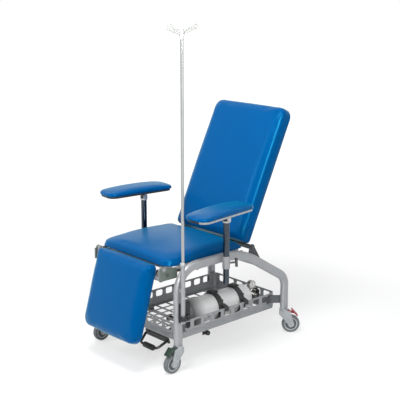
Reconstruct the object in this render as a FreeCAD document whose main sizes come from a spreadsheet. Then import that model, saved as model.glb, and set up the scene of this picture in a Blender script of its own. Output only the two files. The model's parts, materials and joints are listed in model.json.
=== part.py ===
import FreeCAD, Part
import math
import os
import re
import Sketcher
from FreeCAD import Placement, Rotation, Vector

doc = FreeCAD.newDocument("DonorChair")
sheet = doc.addObject("Spreadsheet::Sheet", "Sizes")

# Driving sizes of the chair in millimetres and degrees.
# X points to the patient's left, Y to the back of the chair, Z up from the floor.
TABLE = [
    # Side frames of flat-oval steel tube
    ("rail_clear", 20.0),
    ("tube_deep", 50.0),
    ("tube_wide", 30.0),
    ("tube_wall", 2.0),
    ("leg_y", 390.0),
    ("leg_foot_z", 142.0),
    ("rail_z", 535.0),
    ("front_bend", 120.0),
    ("crown_start_y", -85.0),
    ("crown_bend", 462.0),
    ("crown_angle", 31.5),
    ("rear_bend", 85.0),
    ("frame_bolt_r", 4.0),
    ("frame_bolt_head_r", 8.0),
    ("frame_bolt_head", 5.0),
    ("frame_bolt_grip", 10.0),
    # Seat frame and seat
    ("seat_base_z", 548.0),
    ("seat_tube_r", 12.5),
    ("seat_tube_inset", 14.0),
    ("seat_front_y", -405.0),
    ("seat_rear_y", 76.0),
    ("seat_bend", 52.0),
    ("seat_cross_y", -180.0),
    ("tab_length", 40.0),
    ("tab_height", 18.0),
    ("tab_front_y", -245.0),
    ("tab_middle_y", -110.0),
    ("tab_rear_y", 56.0),
    ("tab_rear_drop", 32.0),
    ("tab_thick", 9.0),
    ("board_thick", 12.0),
    ("board_margin", 22.0),
    ("board_corner", 40.0),
    ("soft_gap", 0.4),
    ("seat_half", 276.0),
    ("seat_edge_y", -441.0),
    ("seat_back_y", 94.0),
    ("seat_back_rake", 40.0),
    ("seat_thick", 48.0),
    ("seat_crown", 12.0),
    ("seat_corner", 62.0),
    ("seat_roll", 20.0),
    ("rear_corner", 30.0),
    # Backrest
    ("back_pivot_y", 148.0),
    ("back_pivot_z", 538.0),
    ("back_angle", 25.4),
    ("back_tube_r", 12.5),
    ("back_tube_x", 200.0),
    ("back_tube_top", 640.0),
    ("back_bend", 50.0),
    ("back_cross_z", 330.0),
    ("back_half", 272.0),
    ("back_low", 7.0),
    ("back_length", 752.0),
    ("back_thick", 72.0),
    ("back_crown", 8.0),
    ("back_corner", 55.0),
    ("back_foot_corner", 24.0),
    ("back_roll", 22.0),
    ("pivot_pin_r", 6.0),
    ("pin_fit", 0.05),
    ("side_gap", 1.0),
    ("hinge_plate", 6.0),
    ("hinge_eye", 17.0),
    ("hinge_front_y", 112.0),
    ("hinge_rear_y", 208.0),
    ("hinge_foot_front_z", 468.0),
    ("hinge_foot_rear_z", 428.0),
    ("bolt_step_first", 6.0),
    ("bolt_step_last", 42.0),
    ("pin_head", 4.0),
    ("pin_head_r", 10.0),
    # Legrest
    ("leg_pivot_y", -458.0),
    ("leg_pivot_z", 541.0),
    ("leg_angle", 16.0),
    ("rest_half", 220.0),
    ("rest_top", 8.0),
    ("rest_length", 415.0),
    ("rest_front", 58.0),
    ("rest_rear", 2.0),
    ("rest_crown", 6.0),
    ("rest_corner", 60.0),
    ("rest_roll", 18.0),
    ("rest_tube_r", 10.0),
    ("rest_tube_x", 170.0),
    ("rest_top_tube", 52.0),
    ("rest_tube_foot", 300.0),
    ("rest_bend", 30.0),
    ("rest_arm_clear", 15.0),
    ("rest_arm", 8.0),
    ("rest_arm_eye", 13.0),
    ("rest_pin_r", 5.0),
    ("plate_inset", 6.0),
    ("plate_thick", 8.0),
    ("plate_front_y", -481.0),
    ("plate_rear_y", -370.0),
    ("plate_low_z", 484.0),
    ("plate_top_z", 540.0),
    ("plate_bolt_y", -436.0),
    ("plate_bolt_z", 512.0),
    # Gas springs
    ("spring_r", 10.0),
    ("spring_rod_r", 4.0),
    ("spring_fit", 0.1),
    ("spring_eye_r", 9.0),
    ("spring_eye_wide", 12.0),
    ("spring_pin_r", 4.0),
    ("lug_thick", 5.0),
    ("lug_gap", 1.0),
    ("spring_neck", 3.0),
    ("lug_r", 11.0),
    ("slot_fit", 1.8),
    ("slot_eye_r", 10.0),
    ("leg_slot", 8.6),
    ("back_slot", -6.5),
    ("leg_spring_x", 200.0),
    ("leg_spring_y", -180.0),
    ("leg_spring_z", 478.0),
    ("leg_lever", 40.0),
    ("leg_lever_angle", 37.0),
    ("leg_spring_body", 150.0),
    ("leg_spring_rod", 168.0),
    ("back_spring_y", 193.0),
    ("back_spring_z", 405.0),
    ("back_lever", 44.0),
    ("back_lever_angle", 30.0),
    ("back_spring_body", 84.0),
    ("back_spring_rod", 84.0),
    ("cross_tube_y", 240.0),
    ("cross_tube_r", 12.5),
    ("cross_tube_z", 415.7),
    # Tray
    ("tray_clear", 55.0),
    ("tray_front_y", -358.0),
    ("tray_rear_y", 372.0),
    ("tray_low_z", 135.0),
    ("tray_height", 91.0),
    ("tray_sheet", 2.0),
    ("tray_corner", 24.0),
    ("window_long", 48.0),
    ("window_tall", 35.0),
    ("window_corner", 10.0),
    ("window_low", 46.0),
    ("window_pitch", 72.0),
    ("window_side_start", 53.0),
    ("window_end_pitch", 72.0),
    ("slot_long", 58.0),
    ("slot_wide", 44.0),
    ("slot_pitch", 72.0),
    ("slot_row_pitch", 56.0),
    ("slot_start_y", 48.0),
    ("bracket_low_z", 170.0),
    ("bracket_top_z", 215.0),
    ("bracket_thick", 4.0),
    ("bracket_flange", 30.0),
    ("bracket_setback", 34.0),
    # Oxygen cylinder and its fittings
    ("gas_x", 140.0),
    ("gas_r", 70.0),
    ("gas_front_y", -215.0),
    ("gas_shoulder_y", 215.0),
    ("gas_neck_y", 262.0),
    ("gas_neck_r", 17.0),
    ("gas_dome", 34.0),
    ("gas_dome_angle", 50.0),
    ("boot_wall", 5.0),
    ("boot_front_y", -232.0),
    ("boot_rear_y", -120.0),
    ("boot_dome", 24.0),
    ("strap_wide", 34.0),
    ("strap_first_y", -10.0),
    ("strap_last_y", 145.0),
    ("buckle_wide", 44.0),
    ("buckle_long", 46.0),
    ("buckle_tall", 12.0),
    ("buckle_gap", 10.0),
    ("valve_block", 40.0),
    ("valve_long", 46.0),
    ("valve_stem_r", 7.0),
    ("valve_stem", 12.0),
    ("gauge_r", 24.0),
    ("gauge_thick", 20.0),
    ("gauge_rise", 52.0),
    ("outlet_r", 9.0),
    ("outlet_long", 34.0),
    ("wheel_knob_r", 24.0),
    ("wheel_knob", 14.0),
    ("wheel_knob_flute", 5.0),
    ("wheel_knob_gap", 1.0),
    # Foot pedal
    ("axle_y", -138.0),
    ("axle_z", 120.0),
    ("axle_r", 8.0),
    ("axle_inset", 5.0),
    ("cap_r", 14.0),
    ("cap_long", 14.0),
    ("lug_plate", 4.0),
    ("lug_plate_half", 18.0),
    ("lug_drop", 14.0),
    ("lug_inner_left", -70.0),
    ("lug_inner_right", 96.0),
    ("lug_outer", 222.0),
    ("pedal_angle", 18.5),
    ("pedal_hub_r", 13.0),
    ("pedal_hub_left", -62.0),
    ("pedal_hub_right", 88.0),
    ("pedal_arm_x", 38.0),
    ("pedal_arm_half", 17.0),
    ("pedal_arm_thick", 12.0),
    ("pedal_cross", 157.0),
    ("pedal_cross_left", -88.0),
    ("pedal_cross_right", 98.0),
    ("pedal_cross_tall", 34.0),
    ("pedal_cross_thick", 10.0),
    ("pedal_reach", 238.0),
    ("pedal_rod_r", 7.0),
    ("pedal_front_left", -40.0),
    ("pedal_front_right", 98.0),
    ("pedal_bend", 26.0),
    ("tread_r", 12.0),
    ("tread_left", -4.0),
    ("tread_right", 66.0),
    # Armrests
    ("post_y", -93.0),
    ("post_r", 16.0),
    ("post_low_z", 407.0),
    ("post_top_z", 729.0),
    ("socket_r", 20.0),
    ("socket_low_z", 487.0),
    ("socket_top_z", 552.0),
    ("socket_weld", 24.0),
    ("screw_angle", 60.0),
    ("screw_z", 515.0),
    ("screw_r", 5.0),
    ("screw_start", 18.0),
    ("screw_end", 54.0),
    ("handle_r", 7.0),
    ("handle_half", 23.0),
    ("handle_tilt", 75.0),
    ("head_r", 20.0),
    ("head_hub", 9.0),
    ("head_spigot_r", 8.0),
    ("head_spigot", 24.0),
    ("head_gap", 1.0),
    ("tilt_z", 752.0),
    ("ear_thick", 6.0),
    ("ear_r", 11.0),
    ("ear_inner", 14.5),
    ("tilt_pin_r", 5.0),
    ("arm_lug_half", 14.0),
    ("arm_lug_r", 11.5),
    ("arm_base_z", 775.0),
    ("arm_board", 11.0),
    ("arm_half_wide", 75.0),
    ("arm_front", 255.0),
    ("arm_rear", 158.0),
    ("arm_corner", 48.0),
    ("arm_board_inset", 9.0),
    ("arm_pad", 21.0),
    ("arm_pad_crown", 13.0),
    ("arm_pad_roll", 12.0),
    ("arm_yaw_angle", 7.0),
    # Infusion pole
    ("pole_clear", 19.0),
    ("pole_y", -386.0),
    ("pole_tube_r", 12.5),
    ("pole_rod_r", 8.0),
    ("pole_slide", 0.1),
    ("pole_low_z", 318.0),
    ("pole_top_z", 548.0),
    ("collar_r", 16.0),
    ("collar_long", 22.0),
    ("rod_low_z", 334.0),
    ("rod_top_z", 1676.0),
    ("clamp_low_z", 262.0),
    ("clamp_top_z", 366.0),
    ("clamp_half", 21.0),
    ("clamp_wall", 6.0),
    ("clamp_boss_r", 19.0),
    ("clamp_boss_z", 291.0),
    ("clamp_boss_y", -331.0),
    ("hook_hub_r", 11.0),
    ("hook_cover", 21.0),
    ("hook_tall", 51.0),
    ("hook_thick", 9.0),
    ("hook_reach", 78.0),
    ("hook_rise", 16.0),
    ("hook_root_tall", 24.0),
    ("hook_ring_r", 17.0),
    ("hook_hole_r", 8.0),
    ("hook_mouth", 7.0),
    # Braked castors
    ("castor_trail", 40.0),
    ("castor_r", 50.0),
    ("castor_wide", 30.0),
    ("castor_tread_round", 7.0),
    ("castor_dish_r", 34.0),
    ("castor_dish", 5.0),
    ("castor_hub_r", 12.0),
    ("castor_bore_r", 6.0),
    ("castor_fit", 0.08),
    ("cheek_gap", 1.5),
    ("cheek_thick", 5.0),
    ("cheek_eye_r", 17.0),
    ("cheek_top_z", 127.0),
    ("cheek_front", 22.0),
    ("cheek_rear", 34.0),
    ("hood_r", 25.0),
    ("hood_low_z", 104.0),
    ("hood_gap", 0.6),
    ("stem_r", 8.0),
    ("stem_low_z", 112.0),
    ("stem_flange", 4.0),
    ("stem_plug", 40.0),
    ("brake_pin_y", -24.0),
    ("brake_pin_z", 121.0),
    ("brake_pin_r", 3.0),
    ("brake_half", 17.0),
    ("brake_thick", 7.0),
    ("brake_reach", 37.0),
    ("brake_angle", 8.0),
    ("paddle_half", 22.0),
    ("paddle_long", 47.0),
    ("paddle_lead", 24.0),
    ("paddle_angle", 48.0),
    ("brake_tip", 12.0),
    ("castor_turn_front", 0.0),
    ("castor_turn_near", 140.0),
    ("castor_turn_far", 205.0),
    # One overrun for cutting tools
    ("overrun", 3.0),
]

# Sizes that follow from the driving ones, so that neighbours keep together
RULES = [
    ("rail_x", "seat_half + rail_clear"),
    ("seat_tube_x", "seat_half - seat_tube_inset"),
    ("plate_x", "seat_half - plate_inset"),
    ("rest_arm_x", "plate_x - rest_arm_clear"),
    ("post_x", "rail_x + tube_wide / 2 + socket_r"),
    ("pole_x", "rail_x + tube_wide / 2 + pole_clear"),
    ("tray_half", "rail_x - tray_clear"),
    ("axle_half", "tray_half - axle_inset"),
    ("hook_low_z", "rod_top_z - hook_cover"),
    ("hook_top_z", "hook_low_z + hook_tall"),
]

for row, (alias, value) in enumerate(TABLE, start=1):
    sheet.set("A%d" % row, alias)
    sheet.set("B%d" % row, str(value))
    sheet.setAlias("B%d" % row, alias)
for row, (alias, formula) in enumerate(RULES, start=len(TABLE) + 1):
    sheet.set("A%d" % row, alias)
    sheet.set("B%d" % row, "=" + formula)
    sheet.setAlias("B%d" % row, alias)
doc.recompute()


class Sizes:
    """Numbers read back from the spreadsheet by name."""


size = Sizes()
NAMES = set(alias for alias, value in TABLE + RULES)
for alias in NAMES:
    setattr(size, alias, float(sheet.get(alias)))

X_AXIS = Vector(1, 0, 0)
Y_AXIS = Vector(0, 1, 0)
Z_AXIS = Vector(0, 0, 1)
QUARTER = 90.0
FULL_TURN = 360.0
nodes = {}


# Helpers for objects bound to the sheet

def linked(text):
    """Turn size names in a formula into sheet references."""
    def swap(match):
        word = match.group(0)
        return "Sizes." + word if word in NAMES else word
    return re.sub(r"[a-z][a-z0-9_]*", swap, text)


def bind(item, prop, text):
    item.setExpression(prop, linked(text))


def place_at(item, x, y, z):
    bind(item, "Placement.Base.x", x)
    bind(item, "Placement.Base.y", y)
    bind(item, "Placement.Base.z", z)


def box(name, x, y, z, length, width, height):
    item = doc.addObject("Part::Box", name)
    bind(item, "Length", length)
    bind(item, "Width", width)
    bind(item, "Height", height)
    place_at(item, x, y, z)
    return item


def cylinder(name, axis, x, y, z, radius, height):
    item = doc.addObject("Part::Cylinder", name)
    item.Placement = Placement(Vector(), Rotation(Z_AXIS, axis))
    bind(item, "Radius", radius)
    bind(item, "Height", height)
    place_at(item, x, y, z)
    return item


def cone(name, axis, x, y, z, first, last, height):
    item = doc.addObject("Part::Cone", name)
    item.Placement = Placement(Vector(), Rotation(Z_AXIS, axis))
    bind(item, "Radius1", first)
    bind(item, "Radius2", last)
    bind(item, "Height", height)
    place_at(item, x, y, z)
    return item


def fuse(name, items):
    item = doc.addObject("Part::MultiFuse", name)
    item.Shapes = items
    return item


def cut(name, base, tool):
    item = doc.addObject("Part::Cut", name)
    item.Base = base
    item.Tool = tool
    return item


def solid(name, shape):
    item = doc.addObject("Part::Feature", name)
    item.Shape = shape
    return item


def node(label, item, place=None):
    """Register one finished piece under its file name."""
    item.Label = label
    if place is not None:
        item.Placement = place
    nodes[label] = item
    return item


def origin_plane(body, role):
    for feature in body.Origin.OriginFeatures:
        if feature.Role == role:
            return feature
    return None


def new_body(label):
    body = doc.addObject("PartDesign::Body", label)
    nodes[label] = body
    body.Label = label
    return body


def new_sketch(body, name, role, offset="0"):
    sketch = body.newObject("Sketcher::SketchObject", name)
    sketch.AttachmentSupport = [(origin_plane(body, role), "")]
    sketch.MapMode = "FlatFace"
    bind(sketch, "AttachmentOffset.Base.z", offset)
    return sketch


def pin_point(sketch, curve, end, x_name, x_text, y_name, y_text):
    """Fix one sketch point from the origin by two named formulas."""
    point = sketch.getPoint(curve, end)
    sketch.addConstraint(Sketcher.Constraint("DistanceX", -1, 1, curve, end, point.x))
    sketch.renameConstraint(sketch.ConstraintCount - 1, x_name)
    bind(sketch, "Constraints." + x_name, x_text)
    sketch.addConstraint(Sketcher.Constraint("DistanceY", -1, 1, curve, end, point.y))
    sketch.renameConstraint(sketch.ConstraintCount - 1, y_name)
    bind(sketch, "Constraints." + y_name, y_text)


def rectangle(sketch, low_x, low_y, high_x, high_y):
    """Rectangle whose opposite corners follow four formulas."""
    values = {}
    for alias in NAMES:
        values[alias] = getattr(size, alias)
    corners = []
    for text in (low_x, low_y, high_x, high_y):
        corners.append(formula_value(text, values))
    x0, y0, x1, y1 = corners
    points = [Vector(x0, y0, 0), Vector(x1, y0, 0), Vector(x1, y1, 0), Vector(x0, y1, 0)]
    first = sketch.GeometryCount
    for index in range(4):
        sketch.addGeometry(Part.LineSegment(points[index], points[(index + 1) % 4]), False)
    for index in range(4):
        follower = first + (index + 1) % 4
        sketch.addConstraint(Sketcher.Constraint("Coincident", first + index, 2, follower, 1))
    for index in (0, 2):
        sketch.addConstraint(Sketcher.Constraint("Horizontal", first + index))
        sketch.addConstraint(Sketcher.Constraint("Vertical", first + index + 1))
    pin_point(sketch, first, 1, "low_x_%d" % first, low_x, "low_y_%d" % first, low_y)
    pin_point(sketch, first + 1, 2, "high_x_%d" % first, high_x, "high_y_%d" % first, high_y)


def formula_value(text, values):
    """Work out a plus-and-minus formula of size names, halves allowed."""
    total = 0.0
    for sign, term in re.findall(r"([+-]?)\s*([a-z0-9_./ ]+)", text):
        term = term.strip()
        divisor = 1.0
        if "/" in term:
            term, bottom = [part.strip() for part in term.split("/")]
            divisor = float(bottom)
        number = values[term] if term in values else float(term)
        total += (-number if sign == "-" else number) / divisor
    return total


def circle(sketch, x, y, radius):
    values = {}
    for alias in NAMES:
        values[alias] = getattr(size, alias)
    centre = Vector(formula_value(x, values), formula_value(y, values), 0)
    index = sketch.GeometryCount
    ring = Part.Circle(centre, Z_AXIS, formula_value(radius, values))
    sketch.addGeometry(ring, False)
    sketch.addConstraint(Sketcher.Constraint("Radius", index, ring.Radius))
    sketch.renameConstraint(sketch.ConstraintCount - 1, "radius_%d" % index)
    bind(sketch, "Constraints.radius_%d" % index, radius)
    pin_point(sketch, index, 3, "centre_x_%d" % index, x, "centre_y_%d" % index, y)


def outline(sketch, points):
    """Closed line outline through points worked out from the sizes."""
    count = len(points)
    first = sketch.GeometryCount
    for index in range(count):
        start = Vector(points[index][0], points[index][1], 0)
        end = Vector(points[(index + 1) % count][0], points[(index + 1) % count][1], 0)
        sketch.addGeometry(Part.LineSegment(start, end), False)
    for index in range(count):
        follower = first + (index + 1) % count
        sketch.addConstraint(Sketcher.Constraint("Coincident", first + index, 2, follower, 1))


def pad(body, name, sketch, length, midplane=False, backward=False):
    feature = body.newObject("PartDesign::Pad", name)
    feature.Profile = sketch
    bind(feature, "Length", length)
    feature.Midplane = midplane
    feature.Reversed = backward
    sketch.Visibility = False
    return feature


def pocket(body, name, sketch, length, midplane=False, backward=False):
    feature = body.newObject("PartDesign::Pocket", name)
    feature.Profile = sketch
    bind(feature, "Length", length)
    feature.Midplane = midplane
    feature.Reversed = backward
    sketch.Visibility = False
    return feature


def row_pattern(body, name, original, sketch, axis, length, count):
    feature = body.newObject("PartDesign::LinearPattern", name)
    feature.Originals = [original]
    feature.Direction = (sketch, [axis])
    bind(feature, "Length", length)
    feature.Occurrences = count
    body.Tip = feature
    return feature


def round_edges(body, name, feature, picked, radius):
    doc.recompute()
    names = []
    for index, edge in enumerate(feature.Shape.Edges, start=1):
        if picked(edge):
            names.append("Edge%d" % index)
    item = body.newObject("PartDesign::Fillet", name)
    item.Base = (feature, names)
    bind(item, "Radius", radius)
    body.Tip = item
    return item


def runs_along(direction):
    """Pick straight edges parallel to a direction."""
    def picked(edge):
        if edge.Curve.TypeId != "Part::GeomLine":
            return False
        return abs(abs(edge.Curve.Direction.dot(direction)) - 1.0) < 0.001
    return picked


# Helpers for bent rods, rounded outlines and plates

def rounded_path(points, bend, closed=False):
    """Wire through corner points with each inner corner rounded by one radius."""
    count = len(points)
    corners = range(count) if closed else range(1, count - 1)
    entries = {}
    for index in corners:
        here = points[index]
        before = (points[index - 1] - here).normalize()
        after = (points[(index + 1) % count] - here).normalize()
        half = before.getAngle(after) / 2
        setback = bend / math.tan(half)
        middle = (before + after).normalize()
        crest = here + middle * (bend / math.sin(half) - bend)
        entries[index] = (here + before * setback, crest, here + after * setback)
    edges = []
    spans = range(count) if closed else range(count - 1)
    for index in spans:
        follower = (index + 1) % count
        start = entries[index][2] if index in entries else points[index]
        end = entries[follower][0] if follower in entries else points[follower]
        if (end - start).Length > size.pin_fit:
            edges.append(Part.makeLine(start, end))
        if follower in entries:
            arc = Part.Arc(entries[follower][0], entries[follower][1], entries[follower][2])
            edges.append(arc.toShape())
    return Part.Wire(edges)


def rod_along(path, radius):
    """Round bar swept along a wire."""
    start = path.Edges[0].valueAt(path.Edges[0].FirstParameter)
    heading = path.Edges[0].tangentAt(path.Edges[0].FirstParameter)
    ring = Part.Wire([Part.makeCircle(radius, start, heading)])
    return path.makePipeShell([ring], True, False)


def rounded_outline(low_x, low_y, high_x, high_y, z, low_corner, high_corner):
    """Flat wire of four lines and four arcs with one radius per end."""
    corners = [
        (low_x, low_y, low_corner, 180.0),
        (high_x, low_y, low_corner, 270.0),
        (high_x, high_y, high_corner, 0.0),
        (low_x, high_y, high_corner, 90.0),
    ]
    arcs = []
    for x, y, radius, start in corners:
        centre_x = x + radius if x == low_x else x - radius
        centre_y = y + radius if y == low_y else y - radius
        ring = Part.Circle(Vector(centre_x, centre_y, z), Z_AXIS, radius)
        arcs.append(Part.Arc(ring, math.radians(start), math.radians(start + QUARTER)))
    edges = []
    for index, arc in enumerate(arcs):
        edges.append(arc.toShape())
        following = arcs[(index + 1) % len(arcs)]
        edges.append(Part.makeLine(arc.EndPoint, following.StartPoint))
    return Part.Wire(edges)


def plate(points, along):
    """Flat plate from corner points, given thickness by a vector."""
    wire = Part.makePolygon(points + [points[0]])
    return Part.Face(wire).extrude(along)


def drum(radius, start, along):
    """Solid cylinder from a start point along a vector."""
    return Part.makeCylinder(radius, along.Length, start, along)


def strip(first, last, radius, along):
    """Flat bar with two round ends, given thickness by a vector."""
    run = last - first
    side = run.cross(along).normalize() * radius
    middle = plate([first + side, last + side, last - side, first - side], along)
    return middle.fuse([drum(radius, first, along), drum(radius, last, along)]).removeSplitter()


# Shares of the height and of the roll radius for the drawn-in layers of a cushion wall
WALL_SHARES = [(0.0, 0.3), (0.3, 0.04), (0.65, 0.0), (1.0, 0.14)]
FOOT_SHARE = 0.3


def cushion(low_x, low_y, high_x, high_y, low_z, thick, crown, roll, low_corner, high_corner, rake):
    """Soft block: walls that draw in at foot and top, a domed crown and a rolled edge."""
    top_z = low_z + thick + crown
    wires = []
    for share, inset_share in WALL_SHARES:
        inset = roll * inset_share
        wires.append(rounded_outline(
            low_x + inset,
            low_y + inset,
            high_x - inset,
            high_y - inset - rake * share,
            low_z + (top_z - low_z) * share,
            low_corner,
            high_corner,
        ))
    walls = Part.makeLoft(wires, True, False)
    half = max(high_x - low_x, high_y - low_y) / 2
    dome_r = (half * half + crown * crown) / (2 * crown)
    centre = Vector((low_x + high_x) / 2, (low_y + high_y - rake) / 2, top_z - dome_r)
    block = walls.common(Part.makeSphere(dome_r, centre))
    rim = []
    for face in block.Faces:
        if face.Surface.TypeId == "Part::GeomSphere":
            rim = face.Edges
    block = block.makeFillet(roll, rim)
    foot = []
    for face in block.Faces:
        if face.BoundBox.ZMax < low_z + size.pin_fit:
            foot = face.Edges
    return block.makeFillet(roll * FOOT_SHARE, foot)


def hinge_place(y, z, angle, x=0.0):
    """Place of a piece drawn upright about its hinge and leaning backwards."""
    return Placement(Vector(x, y, z), Rotation(X_AXIS, -angle))


# Side frames: one flat-oval tube bent through three corners

def bend_place(start, heading, radius, turn):
    """End point and heading after a downward bend in the side plane."""
    side = Vector(0, heading.z, -heading.y)
    centre = start + side * radius
    spin = Rotation(X_AXIS, -turn)
    return centre + spin.multVec(start - centre), spin.multVec(heading)


front_foot = Vector(0, -size.leg_y, size.leg_foot_z)
front_top = Vector(0, -size.leg_y, size.rail_z - size.front_bend)
rail_start = Vector(0, size.front_bend - size.leg_y, size.rail_z)
crown_start = Vector(0, size.crown_start_y, size.rail_z)
crown_end, slope = bend_place(crown_start, Y_AXIS, size.crown_bend, size.crown_angle)
slope_run = (size.leg_y - crown_end.y) / slope.y
slope_corner = crown_end + slope * slope_run
rear_turn = math.radians(QUARTER - size.crown_angle)
rear_setback = size.rear_bend * math.tan(rear_turn / 2)
slope_end = slope_corner - slope * rear_setback
rear_top = slope_corner - Z_AXIS * rear_setback
rear_foot = Vector(0, size.leg_y, size.leg_foot_z)


def flat_arc(start, heading, radius, turn):
    middle = bend_place(start, heading, radius, turn / 2)[0]
    end = bend_place(start, heading, radius, turn)[0]
    return Part.Arc(
        Vector(start.y, start.z, 0),
        Vector(middle.y, middle.z, 0),
        Vector(end.y, end.z, 0),
    )


def flat_line(start, end):
    return Part.LineSegment(Vector(start.y, start.z, 0), Vector(end.y, end.z, 0))


def oval_sketch(body, name, inset):
    """Flat-oval tube section at the foot of the front leg."""
    sketch = new_sketch(body, name, "XY_Plane", "leg_foot_z")
    radius = size.tube_wide / 2 - inset
    flat = size.tube_deep / 2 - size.tube_wide / 2
    front = Vector(0, -size.leg_y - flat, 0)
    rear = Vector(0, -size.leg_y + flat, 0)
    side = X_AXIS * radius
    sketch.addGeometry(Part.Arc(front - side, front - Y_AXIS * radius, front + side), False)
    sketch.addGeometry(Part.LineSegment(front + side, rear + side), False)
    sketch.addGeometry(Part.Arc(rear + side, rear + Y_AXIS * radius, rear - side), False)
    sketch.addGeometry(Part.LineSegment(rear - side, front - side), False)
    return sketch


def side_frame(label, sign):
    body = new_body(label)
    spine = new_sketch(body, label + "_path", "YZ_Plane")
    curves = [
        flat_line(front_foot, front_top),
        flat_arc(front_top, Z_AXIS, size.front_bend, QUARTER),
        flat_line(rail_start, crown_start),
        flat_arc(crown_start, Y_AXIS, size.crown_bend, size.crown_angle),
        flat_line(crown_end, slope_end),
        flat_arc(slope_end, slope, size.rear_bend, QUARTER - size.crown_angle),
        flat_line(rear_top, rear_foot),
    ]
    for curve in curves:
        spine.addGeometry(curve, False)
    outer = oval_sketch(body, label + "_outer", 0)
    inner = oval_sketch(body, label + "_inner", size.tube_wall)
    doc.recompute()
    tube = body.newObject("PartDesign::AdditivePipe", label + "_tube")
    tube.Profile = outer
    tube.Spine = (spine, [])
    bore = body.newObject("PartDesign::SubtractivePipe", label + "_bore")
    bore.Profile = inner
    bore.Spine = (spine, [])
    body.Tip = bore
    holes = new_sketch(body, label + "_holes", "YZ_Plane")
    for step in (size.bolt_step_first, size.bolt_step_last):
        spot = crown_end + slope * step
        holes.addGeometry(Part.Circle(Vector(spot.y, spot.z, 0), Z_AXIS, size.frame_bolt_r), False)
    drill = pocket(body, label + "_drill", holes, "tube_wide / 2 + overrun", backward=sign < 0)
    body.Tip = drill
    bind(body, "Placement.Base.x", "rail_x" if sign > 0 else "-rail_x")


side_frame("side_frame_left", 1)
side_frame("side_frame_right", -1)
doc.recompute()

# Castor stems: an oval plug up each leg, a flange and a round pin below
stem_shapes = []
for side_x in (-size.rail_x, size.rail_x):
    for leg in (-size.leg_y, size.leg_y):
        flat = size.tube_deep / 2 - size.tube_wide / 2
        parts = []
        for inset, low, high in (
            (size.tube_wall, size.leg_foot_z, size.leg_foot_z + size.stem_plug),
            (0.0, size.leg_foot_z - size.stem_flange, size.leg_foot_z),
        ):
            radius = size.tube_wide / 2 - inset
            first = Vector(side_x, leg - flat, low)
            last = Vector(side_x, leg + flat, low)
            parts.append(strip(first, last, radius, Z_AXIS * (high - low)))
        pin_long = size.leg_foot_z - size.stem_low_z
        parts.append(drum(size.stem_r, Vector(side_x, leg, size.stem_low_z), Z_AXIS * pin_long))
        stem_shapes.append(parts[0].fuse(parts[1:]).removeSplitter())
node("castor_stems", solid("castor_stems_solid", Part.makeCompound(stem_shapes)))

# Seat frame: rounded ring of round tube, one cross tube, welded tabs and a spring lug
seat_tube_z = size.seat_base_z - size.seat_tube_r
ring_points = [
    Vector(0, size.seat_front_y, seat_tube_z),
    Vector(size.seat_tube_x, size.seat_front_y, seat_tube_z),
    Vector(size.seat_tube_x, size.seat_rear_y, seat_tube_z),
    Vector(-size.seat_tube_x, size.seat_rear_y, seat_tube_z),
    Vector(-size.seat_tube_x, size.seat_front_y, seat_tube_z),
    Vector(0, size.seat_front_y, seat_tube_z),
]
ring_path = solid("seat_ring_path", rounded_path(ring_points, size.seat_bend))
ring_section = doc.addObject("Part::Circle", "seat_ring_section")
ring_section.Placement = Placement(ring_points[0], Rotation(Z_AXIS, X_AXIS))
bind(ring_section, "Radius", "seat_tube_r")
seat_ring = doc.addObject("Part::Sweep", "seat_ring")
seat_ring.Sections = [ring_section]
seat_ring.Spine = (ring_path, ["Edge%d" % (index + 1) for index in range(len(ring_path.Shape.Edges))])
seat_ring.Solid = True
seat_items = [seat_ring]
seat_items.append(cylinder(
    "seat_cross",
    X_AXIS,
    "-seat_tube_x",
    "seat_cross_y",
    "seat_base_z - seat_tube_r",
    "seat_tube_r",
    "2 * seat_tube_x",
))
inner_face = "rail_x - tube_wide / 2"
for sign, tag in ((1, "left"), (-1, "right")):
    low_x = "seat_tube_x" if sign > 0 else "-(rail_x - tube_wide / 2)"
    for spot in ("front", "middle"):
        seat_items.append(box(
            "seat_tab_%s_%s" % (spot, tag),
            low_x,
            "tab_%s_y - tab_length / 2" % spot,
            "rail_z - tab_height / 2",
            inner_face + " - seat_tube_x",
            "tab_length",
            "tab_height",
        ))
    rear_x = inner_face + " - tab_thick" if sign > 0 else "-(rail_x - tube_wide / 2)"
    seat_items.append(box(
        "seat_tab_rear_%s" % tag,
        rear_x,
        "tab_rear_y - tab_length / 2",
        "seat_base_z - seat_tube_r - tab_rear_drop",
        "tab_thick",
        "tab_length",
        "tab_rear_drop",
    ))


def lug_pair(x, y, z, root, pin_r):
    """Two cheek plates with a pin between them, reaching back to a welded root point."""
    shapes = []
    inner = size.spring_eye_wide / 2 + size.lug_gap
    for sign in (1, -1):
        start = x + sign * inner
        along = X_AXIS * (sign * size.lug_thick)
        tip = Vector(start, y, z)
        foot = Vector(start, root.y, root.z)
        shapes.append(strip(foot, tip, size.lug_r, along))
    reach = inner + size.lug_thick
    shapes.append(drum(pin_r, Vector(x - reach, y, z), X_AXIS * (2 * reach)))
    return shapes


leg_lug_root = Vector(size.leg_spring_x, size.seat_cross_y, seat_tube_z)
leg_lugs = lug_pair(
    size.leg_spring_x,
    size.leg_spring_y,
    size.leg_spring_z,
    leg_lug_root,
    size.spring_pin_r,
)
for index, shape in enumerate(leg_lugs):
    seat_items.append(solid("seat_lug_%d" % index, shape))
doc.recompute()
seat_frame_item = fuse("seat_frame_solid", seat_items)
node("seat_frame", seat_frame_item)

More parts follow.
